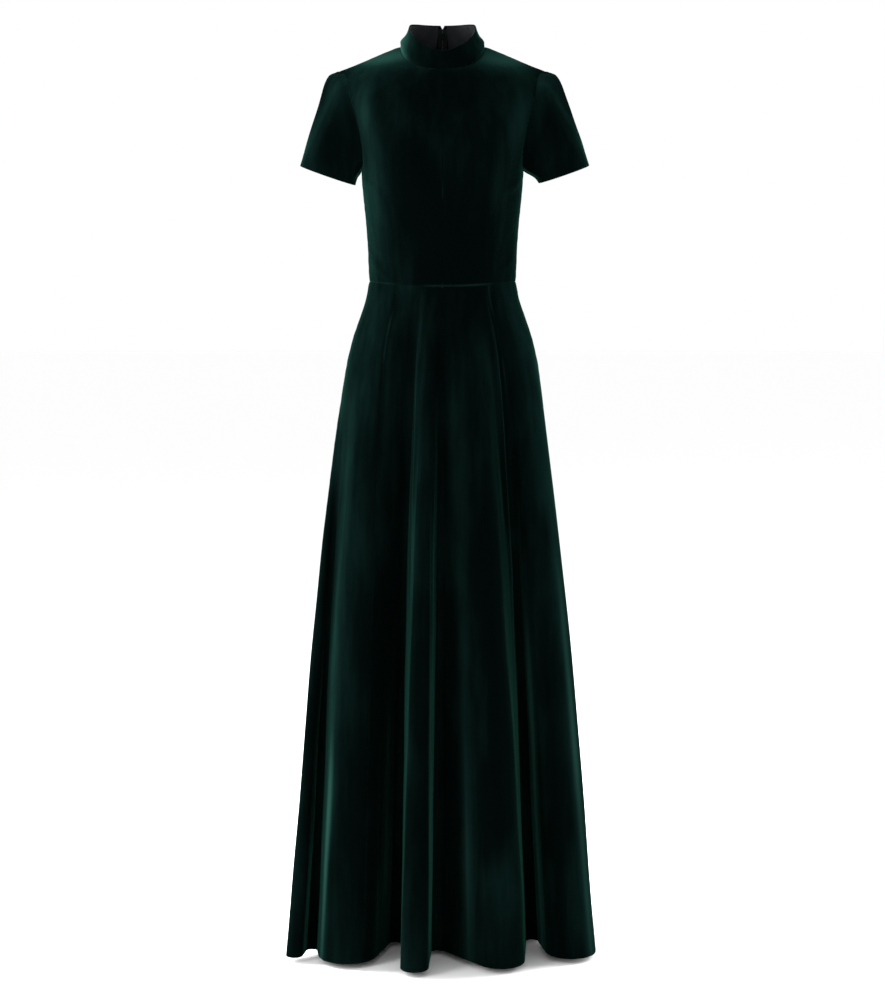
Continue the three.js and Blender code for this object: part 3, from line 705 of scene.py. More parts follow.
def measure_of(surface):
    """The length round a closed surface from its seam to a girth, at a share of its fall: measured once on
    an even grid and read between its points."""
    girths, shares = 1200, 60
    grid = np.meshgrid(np.linspace(0, 1, girths + 1), np.linspace(0, 1, shares + 1), indexing="ij")
    round_ = lengths(surface(*grid), 0)

    def measured(girth, share):
        i = np.clip(girth, 0, 1) * girths
        j = np.clip(share, 0, 1) * shares
        low_i = np.minimum(i.astype(int), girths - 1)
        low_j = np.minimum(j.astype(int), shares - 1)
        upper, lower = (
            mix(round_[low_i, row], round_[low_i + 1, row], i - low_i) for row in (low_j, low_j + 1)
        )
        return mix(upper, lower, j - low_j)

    return measured


def creases_down(rows, measured, girth, share):
    """Soft ridges and troughs down a closed surface: each is a bell by the length round to it, faded in and
    out over the stretch that its row gives."""
    total = np.zeros(girth.shape)
    here = measured(girth, share)
    whole = measured(np.ones_like(girth), share)
    for start, shift, begin, finish, width, height in zip(*rows.values()):
        off = here - measured(np.mod(start + shift * share, 1), share)
        off -= whole * np.round(off / whole)
        grown = smooth(begin, mix(begin, finish, 0.35), share)
        gone = smooth(mix(begin, finish, 0.6), finish, share)
        total += height * grown * (1 - gone) * bell(off, width)
    return total


def creases_across(rows, points):
    """Soft ridges and troughs on the bodice, each a bell round the line between its two ends, as seen from
    the front, that fades towards both."""
    total = np.zeros(points.shape[:-1])
    for x0, z0, x1, z1, width, height in zip(*rows.values()):
        run = np.array((x1 - x0, z1 - z0))
        length = np.hypot(*run)
        from_start = points[..., (0, 2)] - (x0, z0)
        along = from_start @ run / length**2
        past = np.clip(along, 0, 1)
        off = np.linalg.norm(from_start - past[..., None] * run, axis=-1)
        total += height * bell(off, width) * smooth(-0.15, 0.4, along) * (1 - smooth(0.55, 1.15, along))
    return total


def painted_shading_ovals(rows, points):
    """Soft ovals of painted light and shade on the bodice: each is a bell in width and in height round
    its middle.
    """
    total = np.zeros(points.shape[:-1])
    for x, z, wide, high, height in zip(*rows.values()):
        total += height * bell(points[..., 0] - x, wide * 1.4) * bell(points[..., 2] - z, high * 1.1)
    return total


# Shells

FAR = 1000


def seams_of(edges):
    """The names of the edges that are sewn."""
    return [edge for edge, kind in edges.items() if kind == "seam"]


def levelled(normals, weight):
    """Normals turned level, so that both pieces at a waist seam face the same way there."""
    return unit(mix(normals, unit(normals * (1, 1, 0)), weight[..., None]))


def cloth_faces(across, along):
    """Quads of a closed shell on a grid of two layers: the outer face, the inner face and the strips that
    join them. They face outwards where the grid's two axes and the outer side make a right hand."""
    outer, inner = np.arange(2 * across * along).reshape(2, across, along)

    def quads(*corners):
        return np.stack([corner.ravel() for corner in corners], -1)

    return np.concatenate([
        quads(outer[:-1, :-1], outer[1:, :-1], outer[1:, 1:], outer[:-1, 1:]),
        quads(inner[:-1, :-1], inner[:-1, 1:], inner[1:, 1:], inner[1:, :-1]),
        quads(outer[1:, 0], outer[:-1, 0], inner[:-1, 0], inner[1:, 0]),
        quads(outer[:-1, -1], outer[1:, -1], inner[1:, -1], inner[:-1, -1]),
        quads(outer[0, :-1], outer[0, 1:], inner[0, 1:], inner[0, :-1]),
        quads(outer[-1, 1:], outer[-1, :-1], inner[-1, :-1], inner[-1, 1:]),
    ])


def new_object(name, points, faces, material, uv=None, sharp=50, **values):
    """An object at the origin whose mesh has these points, in millimetres, and quads, shaded smooth but for
    edges sharper than that many degrees. Uv and any other named values have one for each point."""
    mesh = bpy.data.meshes.new(name)
    mesh.vertices.add(len(points))
    mesh.vertices.foreach_set("co", (points * MM).astype(np.float32).ravel())
    sides = faces.shape[1]
    mesh.loops.add(faces.size)
    mesh.loops.foreach_set("vertex_index", faces.astype(np.int32).ravel())
    mesh.polygons.add(len(faces))
    mesh.polygons.foreach_set("loop_start", np.arange(0, faces.size, sides, dtype=np.int32))
    mesh.update(calc_edges=True)
    if uv is not None:
        layer = mesh.uv_layers.new(name="cloth")
        layer.data.foreach_set("uv", uv[faces.ravel()].astype(np.float32).ravel())
    for key, value in values.items():
        mesh.attributes.new(key, "FLOAT", "POINT").data.foreach_set("value", value.astype(np.float32))
    mesh.validate()
    mesh.shade_smooth()
    mesh.set_sharp_from_angle(angle=np.radians(sharp))
    mesh.materials.append(material)
    made = bpy.data.objects.new(name, mesh)
    bpy.context.scene.collection.objects.link(made)
    return made


def shell(name, points, normals, facing, rise, thick, material, seams=(), nap=None, hush=0):
    """A cloth shell: its outer face is the points moved out by rise, and its inner face lies as far behind
    them as the cloth is thick. It keeps how far each point is from the named seams, with the hush added,
    and its nap: how its pile is brushed, together with its painted light and shade."""
    across, along, _ = points.shape
    outer = points + normals * rise[..., None]
    inner = points - normals * thick[..., None]
    grid = np.stack([outer, inner]).reshape(-1, 3)
    faces = cloth_faces(across, along)
    if facing < 0:
        faces = faces[:, ::-1]
    uv = np.stack([lengths(points, 0), lengths(points, 1)], -1)
    distance = edge_distances(points)
    seam = np.min([np.full(rise.shape, FAR), *(distance[edge] for edge in seams)], axis=0) + hush
    nap = np.zeros(rise.shape) if nap is None else nap
    uv, seam, nap = (np.concatenate([value, value]) for value in (uv, seam, nap))
    return new_object(name, grid, faces, material, uv.reshape(-1, 2), seam=seam.ravel(), nap=nap.ravel())


def centre_hush(points):
    """What hides the painted highlight beside the centre front seam: a bell across the middle of the front,
    clear of the waist seam.
    """
    beside = HUSH["added"] * bell(points[..., 0], HUSH["half_width"]) * (points[..., 1] < 0)
    return beside * smooth(*HUSH["clear_of_waist"], lengths(points, 1))


def trimmed(points, edges, gap):
    """A grid whose named edges are drawn in from the seam line by half its clear width."""
    points = points.copy()
    turned = points.swapaxes(0, 1)
    lines = {"first": points, "last": points[::-1], "start": turned, "end": turned[::-1]}
    for edge in edges:
        line = lines[edge]
        line[0] += unit(line[1] - line[0]) * gap / 2
    return points


def rounding(distance, radius, depth):
    """How far a face falls away towards an edge: a quarter of an ellipse as long as the radius."""
    near = np.clip(1 - distance / radius, 0, 1)
    return depth * (1 - np.sqrt(1 - near**2))


def sewn(distance, along, seams, seed):
    """The outer face's drop at a distance from a seam and a length along it: it rolls in, a shallow dip
    lies round it, and the cloth puckers unevenly a little way off, but not in the stitches."""
    roll = rounding(distance, seams.roll / MM, seams.depth / MM)
    dip = seams.dip / MM * bell(distance, seams.dip_reach / MM)
    pucker = seams.pucker / MM * ripple(along, seams.pucker_pitch / MM, seed)
    return roll + dip - pucker * (bell(distance, seams.pucker_reach / MM) - bell(distance, 3))


def cloth_profile(points, edges, cloth, seams, seed):
    """Rise of the outer face and thickness under a grid of points. Each edge is a seam, which rolls in and
    has its allowances behind it, or a number: a rounded edge with a turn-up that many millimetres deep."""
    distance = edge_distances(points)
    down = lengths(points, 1)
    round_ = lengths(points, 0)
    lengths_at = {"first": down, "last": down, "start": round_, "end": round_}
    wall = cloth.wall / MM
    rise = np.zeros(points.shape[:-1])
    thick = np.full(points.shape[:-1], wall)
    for number, (edge, kind) in enumerate(edges.items()):
        off = distance[edge]
        if kind == "seam":
            reach = seams.allowance_width / MM
            rise -= sewn(off, lengths_at[edge], seams, seed + number)
            thick += cloth.allowance / MM * (1 - smooth(reach, reach + EDGE["step"], off))
        else:
            rounded = rounding(off, wall, wall * EDGE["rounded"])
            rise -= rounded
            thick -= rounded
            turned = (1 - smooth(kind, kind + EDGE["step"], off)) * smooth(0, wall, off)
            thick += cloth.turn_up / MM * turned
            rise -= cloth.hem_mark / MM * bell(off - kind, EDGE["mark_width"])
    return rise, thick


def inside_edges(points, reach):
    """0 at every edge of a grid and 1 further in than the reach."""
    return np.prod([smooth(0, reach, off) for off in edge_distances(points).values()], axis=0)


def tube(paths, radius, reference):
    """Vertices and quads of a thin closed tube: four corners round every point of a path, set out from a
    reference direction there."""
    sides = 4
    tangent = unit(np.gradient(paths, axis=0))
    across = unit(np.cross(tangent, reference))
    up = np.cross(across, tangent)
    angle = np.linspace(0, 2 * np.pi, sides, endpoint=False)[None, :, None]
    points = paths[:, None] + radius * (np.cos(angle) * across[:, None] + np.sin(angle) * up[:, None])
    ids = np.arange(len(paths) * sides).reshape(-1, sides)
    beside = np.roll(ids, -1, axis=1)
    walls = np.stack([ids[:-1], beside[:-1], beside[1:], ids[1:]], -1).reshape(-1, 4)
    caps = np.stack([ids[0, ::-1], ids[-1]])
    return points.reshape(-1, 3), np.concatenate([walls, caps])


# Finishes


class Wire:
    """One socket of a material, so that sums and products of sockets and numbers read as plain Python."""

    def __init__(self, finish, socket):
        self.finish = finish
        self.socket = socket

    def __getitem__(self, name):
        return Wire(self.finish, self.socket.node.outputs[name])

    def math(self, operation, first, second=0.0):
        return self.finish.node("Math", {"operation": operation}, {0: first, 1: second})

    def __add__(self, other):
        return self.math("ADD", self, other)

    __radd__ = __add__

    def __sub__(self, other):
        return self.math("SUBTRACT", self, other)

    def __rsub__(self, other):
        return self.math("SUBTRACT", other, self)

    def __mul__(self, other):
        return self.math("MULTIPLY", self, other)

    __rmul__ = __mul__


class Finish:
    """A material while it is wired."""

    def __init__(self, name):
        self.material = bpy.data.materials.new(name)
        self.material.use_nodes = True
        self.tree = self.material.node_tree
        self.tree.nodes.clear()

    def node(self, kind, settings=None, sockets=None):
        """A node of a kind, with settings, and values or links at its sockets. Gives its first output."""
        made = self.tree.nodes.new("ShaderNode" + kind)
        for key, value in (settings or {}).items():
            setattr(made, key, value)
        for key, value in (sockets or {}).items():
            if isinstance(value, Wire):
                self.tree.links.new(value.socket, made.inputs[key])
            else:
                made.inputs[key].default_value = value
        return Wire(self, made.outputs[0]) if made.outputs else None

    def place(self, scale=(1, 1, 1), source="Object"):
        """Coordinates on the object, or on its own map, stretched by a scale."""
        here = self.node("TexCoord")[source]
        return self.node("Mapping", sockets={"Vector": here, "Scale": scale})

    def noise(self, scale, detail=2.0, roughness=0.5, stretch=(1, 1, 1)):
        """Cloudy values about 0.5 at places stretched by a scale along each axis."""
        here = self.place(stretch)
        sockets = {"Vector": here, "Scale": scale, "Detail": detail, "Roughness": roughness}
        return self.node("TexNoise", sockets=sockets)

    def stepped(self, value, low, high, start=0.0, end=1.0):
        """A value that goes smoothly from start, where the given one is low, to end, where it is high."""
        sockets = {"Value": value, "From Min": low, "From Max": high, "To Min": start, "To Max": end}
        return self.node("MapRange", {"interpolation_type": "SMOOTHSTEP"}, sockets)

    def tint(self, share, *ends):
        """A colour between two, by a share."""
        first, second = (value if isinstance(value, Wire) else (*value, 1) for value in ends)
        mixed = self.node("Mix", {"data_type": "RGBA"}, {0: share, 6: first, 7: second})
        return Wire(self, mixed.socket.node.outputs[2])

    def bump(self, height, distance):
        """The normal of a surface raised by a height of up to a distance, in metres."""
        return self.node("Bump", sockets={"Height": height, "Distance": distance, "Strength": 1})

    def shade(self, **sockets):
        """Ends the material in a principled shader. A socket's name has _ for its spaces."""
        named = {key.replace("_", " "): value for key, value in sockets.items()}
        shader = self.node("BsdfPrincipled", sockets=named)
        self.node("OutputMaterial", sockets={"Surface": shader})
        return self.material


def velvet(look):
    """Pile velvet: nearly black where it is seen along its pile, with a cool green bloom at the sides of
    every fold.
    Brushed marks lean the pile. Painted light and shade, carried with the nap, lighten or darken it, and
    where the painted light is strongest a painted highlight is mixed in. A painted highlight lies beside a
    seam, here more and there less, and hardly at all from the hips down."""
    wired = Finish("velvet")
    brushed = wired.noise(16, 3, stretch=(1, 1, 0.35))
    streaks = wired.noise(90, stretch=(1, 1, 0.1))
    pile = wired.noise(1500, 1)
    # The nap attribute holds painted light and shade together with the pile's random tone.
    nap = wired.node("Attribute", {"attribute_name": "nap"})["Fac"]
    marks = wired.stepped(brushed * 0.75 + streaks * 0.25 + nap * 0.3, 0.3, 1.1)
    leaning = wired.stepped(wired.noise(11, 1), 0.4, 0.7)
    height = wired.node("SeparateXYZ", sockets={"Vector": wired.node("TexCoord")["Object"]})["Z"]
    upper = wired.stepped(height, -0.62, -0.46, 0.05, 1)
    # Painted highlight beside the seams: uneven along them, and faded out from the hips down.
    seam = wired.node("Attribute", {"attribute_name": "seam"})["Fac"]
    beside = wired.stepped(seam, 0.5, 2.6, 1, 0) * leaning * upper
    cloth = wired.tint(marks, look.velvet_deep, look.velvet_brushed_and_painted_light)
    # Painted highlight: a brighter colour mixed in where the painted light is strongest.
    painted_highlight = wired.tint(wired.stepped(nap, 0.9, 3), cloth, look.velvet_painted_highlight)
    shown = wired.tint(beside, painted_highlight, look.velvet_painted_seam_highlight)
    relief = brushed * look.brushed + streaks * (0.22 * look.brushed) + pile * (0.06 * look.brushed)
    return wired.shade(
        Base_Color=shown,
        Roughness=wired.stepped(pile, 0.3, 0.7, 0.78, 0.95),
        Specular_IOR_Level=0.0,
        Sheen_Weight=1.0,
        Sheen_Roughness=look.sheen_roughness,
        Sheen_Tint=(*look.sheen, 1),
        Normal=wired.bump(relief, 0.002),
    )


def weave(name, dark, light, threads, roughness):
    """Plain woven cloth: so many threads a millimetre each way, over and under each other, on the piece's
    own map."""
    wired = Finish(name)
    place_ = wired.place((threads * 2 * np.pi, threads * 2 * np.pi, 1), "UV")
    split = wired.node("SeparateXYZ", sockets={"Vector": place_})
    warp = wired.node("Math", {"operation": "SINE"}, {0: split["X"]})
    weft = wired.node("Math", {"operation": "SINE"}, {0: split["Y"]})
    over = warp * weft
    worn = wired.noise(60, 3)
    shade = wired.stepped(over * 0.25 + worn, 0.3, 0.8)
    return wired.shade(
        Base_Color=wired.tint(shade, dark, light),
        Roughness=wired.stepped(worn, 0.3, 0.7, roughness - 0.08, roughness + 0.08),
        Specular_IOR_Level=0.03,
        Normal=wired.bump(over * 0.5 + 0.5, 0.00012),
    )


def nylon(dark):
    """The zip's coil: moulded, smooth and a little uneven in gloss."""
    wired = Finish("nylon_coil")
    cloud = wired.noise(300)
    return wired.shade(
        Base_Color=wired.tint(cloud, dark, tuple(1.6 * value for value in dark)),
        Roughness=wired.stepped(cloud, 0.3, 0.7, 0.32, 0.5),
    )


def lacquer(look):
    """Green lacquer on cast metal, rubbed thin in places, with a clear gloss over it."""
    wired = Finish("lacquered_metal")
    cloud = wired.noise(220, 4, 0.6)
    grain = wired.noise(1800)
    rubbed = wired.stepped(cloud, 0.62, 0.72)
    return wired.shade(
        Base_Color=wired.tint(rubbed, look.lacquer, look.bare_metal),
        Metallic=wired.stepped(rubbed, 0, 1, 0.45, 0.95),
        Roughness=wired.stepped(cloud, 0.3, 0.7, 0.42, 0.56),
        Specular_IOR_Level=0.05,
        Specular_Tint=(0.15, 0.25, 0.22, 1),
        Coat_Weight=0.01,
        Coat_Roughness=0.3,
        Normal=wired.bump(grain, 0.00004),
    )


def floor_paint(pale):
    """Matt studio paint with the faintest unevenness."""
    wired = Finish("floor_paint")
    cloud = wired.noise(1.4, 3)
    return wired.shade(
        Base_Color=wired.tint(cloud, pale, tuple(0.995 * value for value in pale)),
        Roughness=wired.stepped(cloud, 0.3, 0.7, 0.7, 0.8),
        Specular_IOR_Level=0.2,
    )


# Settings


def amount(name, description, default, **more):
    """An amount of 0 or more."""
    return bpy.props.FloatProperty(name=name, description=description, default=default, min=0, **more)


def metres(name, description, default):
    """A length."""
    return amount(name, description, default, unit="LENGTH", precision=5)


def watts(name, where, default):
    """The power of a light."""
    return amount(name, f"Power of the {where}", default, unit="POWER")


def colour(name, description, *default):
    """A colour in linear light."""
    return bpy.props.FloatVectorProperty(
        name=name, description=description, default=default, size=3, min=0, max=1, subtype="COLOR")


class GownCloth(bpy.types.PropertyGroup):
    """Thicknesses of the cloth and of what is turned in."""

    wall: metres("Cloth", "Thickness of the velvet with its pile", 0.0016)
    allowance: metres("Allowance", "Extra thickness of pressed seam allowances", 0.0006)
    turn_up: metres("Turn-up", "Extra thickness of a turned-up hem", 0.0008)
    hem_mark: metres("Hem mark", "Depth of the mark of blind stitches above a hem", 0.00012)
    hem_depth: metres("Skirt hem", "Depth of the skirt's turned-up hem", 0.032)
    sleeve_hem_depth: metres("Sleeve hem", "Depth of a sleeve's turned-up hem", 0.022)
    placket: metres("Placket", "Width turned in beside the zip", 0.008)
    unevenness: metres("Unevenness", "Height of the cloth's slow waves", 0.0011)


class GownSeams(bpy.types.PropertyGroup):
    """Shape of the cloth beside a seam."""

    gap: metres("Gap", "Clear width between two sewn pieces", 0.00002)
    armhole_lap: metres("Armhole lap", "How far a sleeve's edge goes under the bodice's", 0.0012)
    roll: metres("Roll", "Length over which the cloth rolls into a seam", 0.002)
    depth: metres("Depth", "Depth of the roll", 0.0007)
    dip: metres("Dip", "Depth of the shallow valley round a seam", 0.0003)
    dip_reach: metres("Dip reach", "Half width of that valley", 0.007)
    pucker: metres("Pucker", "Height of the puckers beside a seam", 0.0004)
    pucker_pitch: metres("Pucker pitch", "Distance from one pucker to the next", 0.021)
    pucker_reach: metres("Pucker reach", "How far the puckers reach from a seam", 0.011)
    allowance_width: metres("Allowance width", "Width of the allowances behind a seam", 0.011)


class GownLook(bpy.types.PropertyGroup):
    """Colours and light."""

    velvet_deep: colour("Velvet, deep", "Velvet seen along its pile", 0.0004, 0.0013, 0.0012)
    # Lighter velvet of the brushed marks, also mixed in by the painted light and shade.
    velvet_brushed_and_painted_light: colour("Velvet, brushed", "Velvet where it is brushed", 0.0021, 0.0080, 0.0069)
    # Colour of the painted highlight beside the seams.
    velvet_painted_seam_highlight: colour("Velvet, at seams", "Velvet where it stands up by a seam", 0.0026, 0.0090, 0.0080)
    # Colour of the painted highlight on the velvet.
    velvet_painted_highlight: colour("Velvet, blooming", "Velvet brushed up against the light", 0.0080, 0.0290, 0.0230)
    sheen: colour("Bloom", "Velvet's bloom at the sides of its folds", 0.0125, 0.058, 0.0435)
    sheen_roughness: amount("Bloom width", "How far it spreads over a fold", 0.3, max=1, subtype="FACTOR")
    brushed: amount("Brushed", "How strongly the pile leans in brushed marks", 1, max=3, subtype="FACTOR")
    lining: colour("Lining", "Lining of the collar", 0.0072, 0.0078, 0.0085)
    lining_light: colour("Lining, light", "Lining where it catches light", 0.0135, 0.0146, 0.0158)
    tape: colour("Tape", "Zip tape", 0.0040, 0.0042, 0.0046)
    tape_light: colour("Tape, light", "Zip tape where it catches light", 0.0075, 0.0080, 0.0086)
    lacquer: colour("Lacquer", "Lacquer of the slider and its pull", 0.0015, 0.005, 0.0038)
    bare_metal: colour("Bare metal", "Metal where the lacquer is rubbed", 0.007, 0.012, 0.010)
    floor: colour("Floor", "Pale studio floor", 0.99, 0.99, 0.99)
    surround: amount("Surround", "Strength of the white surround", 1, subtype="FACTOR")
    left_light: watts("Left light", "large light at the picture's left", 260)
    front_light: watts("Front light", "light at the picture's left, in front", 55)
    top_light: watts("Top light", "light over the shoulders", 80)
    right_light: watts("Right light", "large light at the picture's right", 120)


def looks():
    """The scene's three groups of settings: cloth, seams and look."""
    scene = bpy.context.scene
    return scene.gown_cloth, scene.gown_seams, scene.gown_look


MATERIALS = {}


def material(name, make, *args):
    """One material for all the pieces that share it."""
    if name not in MATERIALS:
        MATERIALS[name] = make(*args)
    return MATERIALS[name]


def put_on(made, node, slot, flat, area):
    """Hides the node's solid and hangs the piece of cloth on the gown's body. Its slot and the size it was
    cut to are not used.
    """
    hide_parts(node)
    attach(made, "gown")


# Pieces


def sew(node, cut_, points, normals, facing, edges, seed, relief, nap, hush=0, beside=None):
    """Velvet on a grid of points, raised by a relief beyond what its edges do. A painted highlight lies
    beside its seams, or beside the edges that are named."""
    cloth, seams, look = looks()
    rise, thick = cloth_profile(points, edges, cloth, seams, seed)
    pile = material("velvet", velvet, look)
    lines = seams_of(edges) if beside is None else beside
    made = shell(f"cloth_{node}", points, normals, facing, rise + relief, thick, pile, lines, nap, hush)
    put_on(made, node, "velvet", **cut_)


def waves(points, seed, size):
    """The cloth's slow waves."""
    return looks()[0].unevenness / MM * drift(points, seed, size)


def sew_panel(word, is_front):
    """Half of the front or back bodice, with its creases and its dart. Along the shoulder seam, front and
    back face the same way."""
    cloth, seams, _ = looks()
    side = SIDES[word]
    facing = side * (-1 if is_front else 1)
    marks = (0, UNDERARM_STEP, NECK_STEP, 1)
    along = joined(*(eased(*ends, rows) for *ends, rows in zip(marks, marks[1:], PANEL_ROWS)))
    s, t = np.meshgrid(eased(0, 1, PANEL_COLUMNS), along, indexing="ij")
    points = panel(s, t, side, is_front)
    normals = normal_of(lambda a, b: body(a, b, side, is_front), *cut(s, t, is_front), facing)
    slope = LEVELS["frontZ"][-1] - LEVELS["sideZ"][-1]
    shoulder = unit(np.array((side * slope, 0, LEVELS["sideX"][-1])))
    near_shoulder = smooth(0.97, 1, t)[..., None]
    normals = unit(mix(normals, np.broadcast_to(shoulder, normals.shape), near_shoulder))
    normals = levelled(normals, 1 - smooth(0, LEVELLED, lengths(points, 1)))
    points = trimmed(points, ("first", "last", "start", "end"), seams.gap / MM)
    opening = "seam" if is_front else cloth.placket / MM
    edges = {"first": opening, "last": "seam", "start": "seam", "end": "seam"}
    relief = creases_across(BODICE_CREASES[is_front], points) * inside_edges(points, CREASES_END)
    relief += waves(points, 31 + side + 2 * is_front, 90) * inside_edges(points, 26)
    relief += dart(points, DARTS[is_front]) * inside_edges(points, 6)
    # Painted light at the sides of the bodice and by the shoulders, and painted shade down its middle, with
    # the pile's random tone.
    nap = painted_shading_ovals(BODICE_PAINTED_SHADING[is_front], points) + 0.5 * drift(points, 41 + side, 120)
    shown = sum(bell(points[..., 2] - z, high) for z, high in CENTRE_SEAM_SHOWN)
    hush = centre_hush(points) * (1 - np.clip(shown, 0, 1))
    name = f"bodice_{'front' if is_front else 'back'}"
    seed = 10 + 7 * side + 3 * is_front
    sew(f"{name}_{word}", CUTS[name], points, normals, facing, edges, seed, relief, nap, hush)


def dart(points, line):
    """A sewn dart up from the waist: a fine groove along a soft ridge, both fading towards its point."""
    x = np.abs(points[..., 0])
    z = points[..., 2]
    off = x - line["x"] - line["lean"] * (z - WAIST_Z)
    fade = 1 - smooth(line["top"] - DART_SHAPE["point"], line["top"], z)
    ridge = DART_SHAPE["ridge"] * bell(off, DART_SHAPE["ridge_width"])
    return fade * (ridge - DART_SHAPE["groove"] * bell(off, DART_SHAPE["groove_width"]))


def sew_sleeve(word):
    """A sleeve, from the underarm round by the front: a full head with ease puckers, and its creases."""
    cloth, seams, _ = looks()
    side = SIDES[word]

    def surface(turn, w):
        return sleeve(turn, w, side, SLEEVES[word])

    across = joined(eased(0, 0.5, 70, 0.7), eased(0.5, 1, 70, 0.7))
    turn, w = np.meshgrid(across, eased(0, 1, 60, 0.8), indexing="ij")
    points = surface(turn, w)
    normals = normal_of(surface, turn, w, -side)
    points = trimmed(points, ("first", "last"), seams.gap / MM)
    points = trimmed(points, ("start",), -2 * seams.armhole_lap / MM)
    edges = {"first": "seam", "last": "seam", "start": "seam", "end": cloth.sleeve_hem_depth / MM}
    cap = smooth(*CAP["in"], turn) * (1 - smooth(*CAP["out"], turn))
    ease = CAP_EASE["high"] * ripple(lengths(points, 0), CAP_EASE["pitch"], 60 + side)
    relief = cap * ease * bell(lengths(points, 1) - CAP_EASE["down"], CAP_EASE["reach"])
    relief += CAP["full"] * cap * bell(w - CAP["fall"], CAP["fall"]) * inside_edges(points, CAP["edges"])
    folds = creases_down(SLEEVE_CREASES, measure_of(surface), turn, w)
    relief += folds * inside_edges(points, CREASES_END)
    relief += waves(points, 63 + side, 60) * inside_edges(points, 20)
    nap = 0.1 + 0.5 * drift(points, 71 + side, 90)
    # Painted highlight over the sleeve's head near the armhole, and painted shade round the underarm side.
    nap += 1.1 * cap * bell(w, 0.3) - 0.4 * (1 - cap) * bell(w, 0.6)
    sew(f"sleeve_{word}", CUTS["sleeve"], points, normals, -side, edges, 50 + 5 * side, relief, nap,
        beside=edges)


def sew_collar():
    """The stand collar, one band folded at its top."""
    cloth, seams, _ = looks()
    across = joined(eased(0, 0.6, 22), np.linspace(0.6, 3.4, 120), eased(3.4, 4, 22))
    step, up = np.meshgrid(across, eased(0, 1, 30), indexing="ij")
    points = trimmed(collar(step, up), ("first", "last"), COLLAR["slit"])
    points = trimmed(points, ("start",), seams.gap / MM)
    edges = {"first": cloth.placket / MM, "last": cloth.placket / MM, "start": "seam", "end": 0}
    x, y, _ = np.moveaxis(points, -1, 0)
    foot = COLLAR_FOOT["full"] * smooth(*COLLAR_FOOT["aside"], np.abs(x))
    foot *= bell(lengths(points, 1) - COLLAR_FOOT["up"], COLLAR_FOOT["up"])
    relief = waves(points, 83, 40) * inside_edges(points, 12)
    relief += foot * inside_edges(points, COLLAR_FOOT["edges"])
    # Painted highlight at both sides of the collar, stronger on the wearer's right and fading towards the
    # back.
    painted_highlight = sum(high * bell(x - aside, width) for high, aside, width in COLLAR_PAINTED_HIGHLIGHT)
    nap = 0.4 * drift(points, 87, 60) - 0.3 + painted_highlight * (1 - smooth(*PAINTED_HIGHLIGHT_FADES, y))
    normals = normal_of(collar, step, up, 1)
    sew("collar", CUTS["collar"], points, normals, 1, edges, 80, relief, nap, beside=())


def line_collar():
    """The collar's lining: a band a little inside the collar, its ends laid over the zip's tape."""
    _, _, look = looks()
    across = eased(LINING["start"], 4 - LINING["start"], 150, 0.5)
    along = eased(LINING["foot"], LINING["head"], 24, 0.7)
    step, up = np.meshgrid(across, along, indexing="ij")
    normals = normal_of(collar, step, up, 1)
    points = collar(step, up)
    from_zip = np.hypot(points[..., 0], np.minimum(points[..., 1], 0))
    lap = LINING["lap"] * (1 - smooth(LINING["lap_reach"] - 4, LINING["lap_reach"], from_zip))
    points -= normals * (LINING["depth"] + lap)[..., None]
    rise = -rounding(edge_distances(points)["end"], 1, 0.4) + 0.35 * drift(points, 91, 22)
    thick = np.full(rise.shape, LINING["thick"])
    woven = material("lining", weave, "lining_weave", look.lining, look.lining_light, 3, 0.62)
    made = shell("cloth_collar_lining", points, normals, 1, rise, thick, woven)
    put_on(made, "collar_lining", "lining", **CUTS["collar_lining"])


def gore_steps(start, end):
    """Steps across a gore: closer together where the hem's plan turns, and beside its two seams."""
    trial = np.linspace(start, end, 1500)
    run = np.diff(HEM_AT(HEM_LENGTH(trial)), axis=0)
    heading = np.unwrap(np.arctan2(run[:, 1], run[:, 0]))
    turned = np.abs(np.diff(heading, prepend=heading[:1]))
    measure = np.concatenate([[0], np.cumsum(np.hypot(*run.T) + TURN_WEIGHT * turned)])
    even = np.interp(np.linspace(0, measure[-1], GORE_COLUMNS + 1), measure, trial)
    beside = np.array(SEAM_STEPS) * (end - start)
    return joined(even, start + beside, end - beside)


def sew_gore(name, row, measured):
    """One gore of the skirt, from seam to seam and from the waist to the hem. Its measure of the skirt's
    round places its creases."""
    cloth, seams, _ = looks()
    first, last, waist, hem, long = row
    across = gore_steps(first, last)
    drop = WAIST_Z - HEM_Z
    near = np.array(EDGE_STEPS) / drop
    hem_line = 1 - (cloth.hem_depth / MM + np.array((-3, -1, 0, 1, 3))) / drop
    along = joined(np.linspace(0, 1, SKIRT_ROWS + 1), near, 1 - near, hem_line)
    girth, share = np.meshgrid(across, along, indexing="ij")
    points = skirt(girth, share)
    near_waist = 1 - smooth(0, LEVELLED, lengths(points, 1))
    normals = levelled(normal_of(skirt, girth, share, -1, 4e-4), near_waist)
    points = trimmed(points, ("first", "last", "start"), seams.gap / MM)
    edges = {"first": "seam", "last": "seam", "start": "seam", "end": cloth.hem_depth / MM}
    relief = creases_down(SKIRT_CREASES, measured, girth, share) * smooth(0, 0.02, share)
    relief += waves(points, 7, 110) * smooth(0, 0.05, share)
    # Painted light on the ridges of the folds and painted shade in their furrows, with the pile's random
    # tone.
    nap = creases_down(SKIRT_PAINTED_SHADING, measured, girth, share) + 0.5 * drift(points, 9, 160)
    cut_ = {"flat": (max(waist, hem), long), "area": (waist + hem) / 2 * long}
    seed = 100 + int(100 * first)
    sew(name, cut_, points, normals, -1, edges, seed, relief, nap, centre_hush(points))


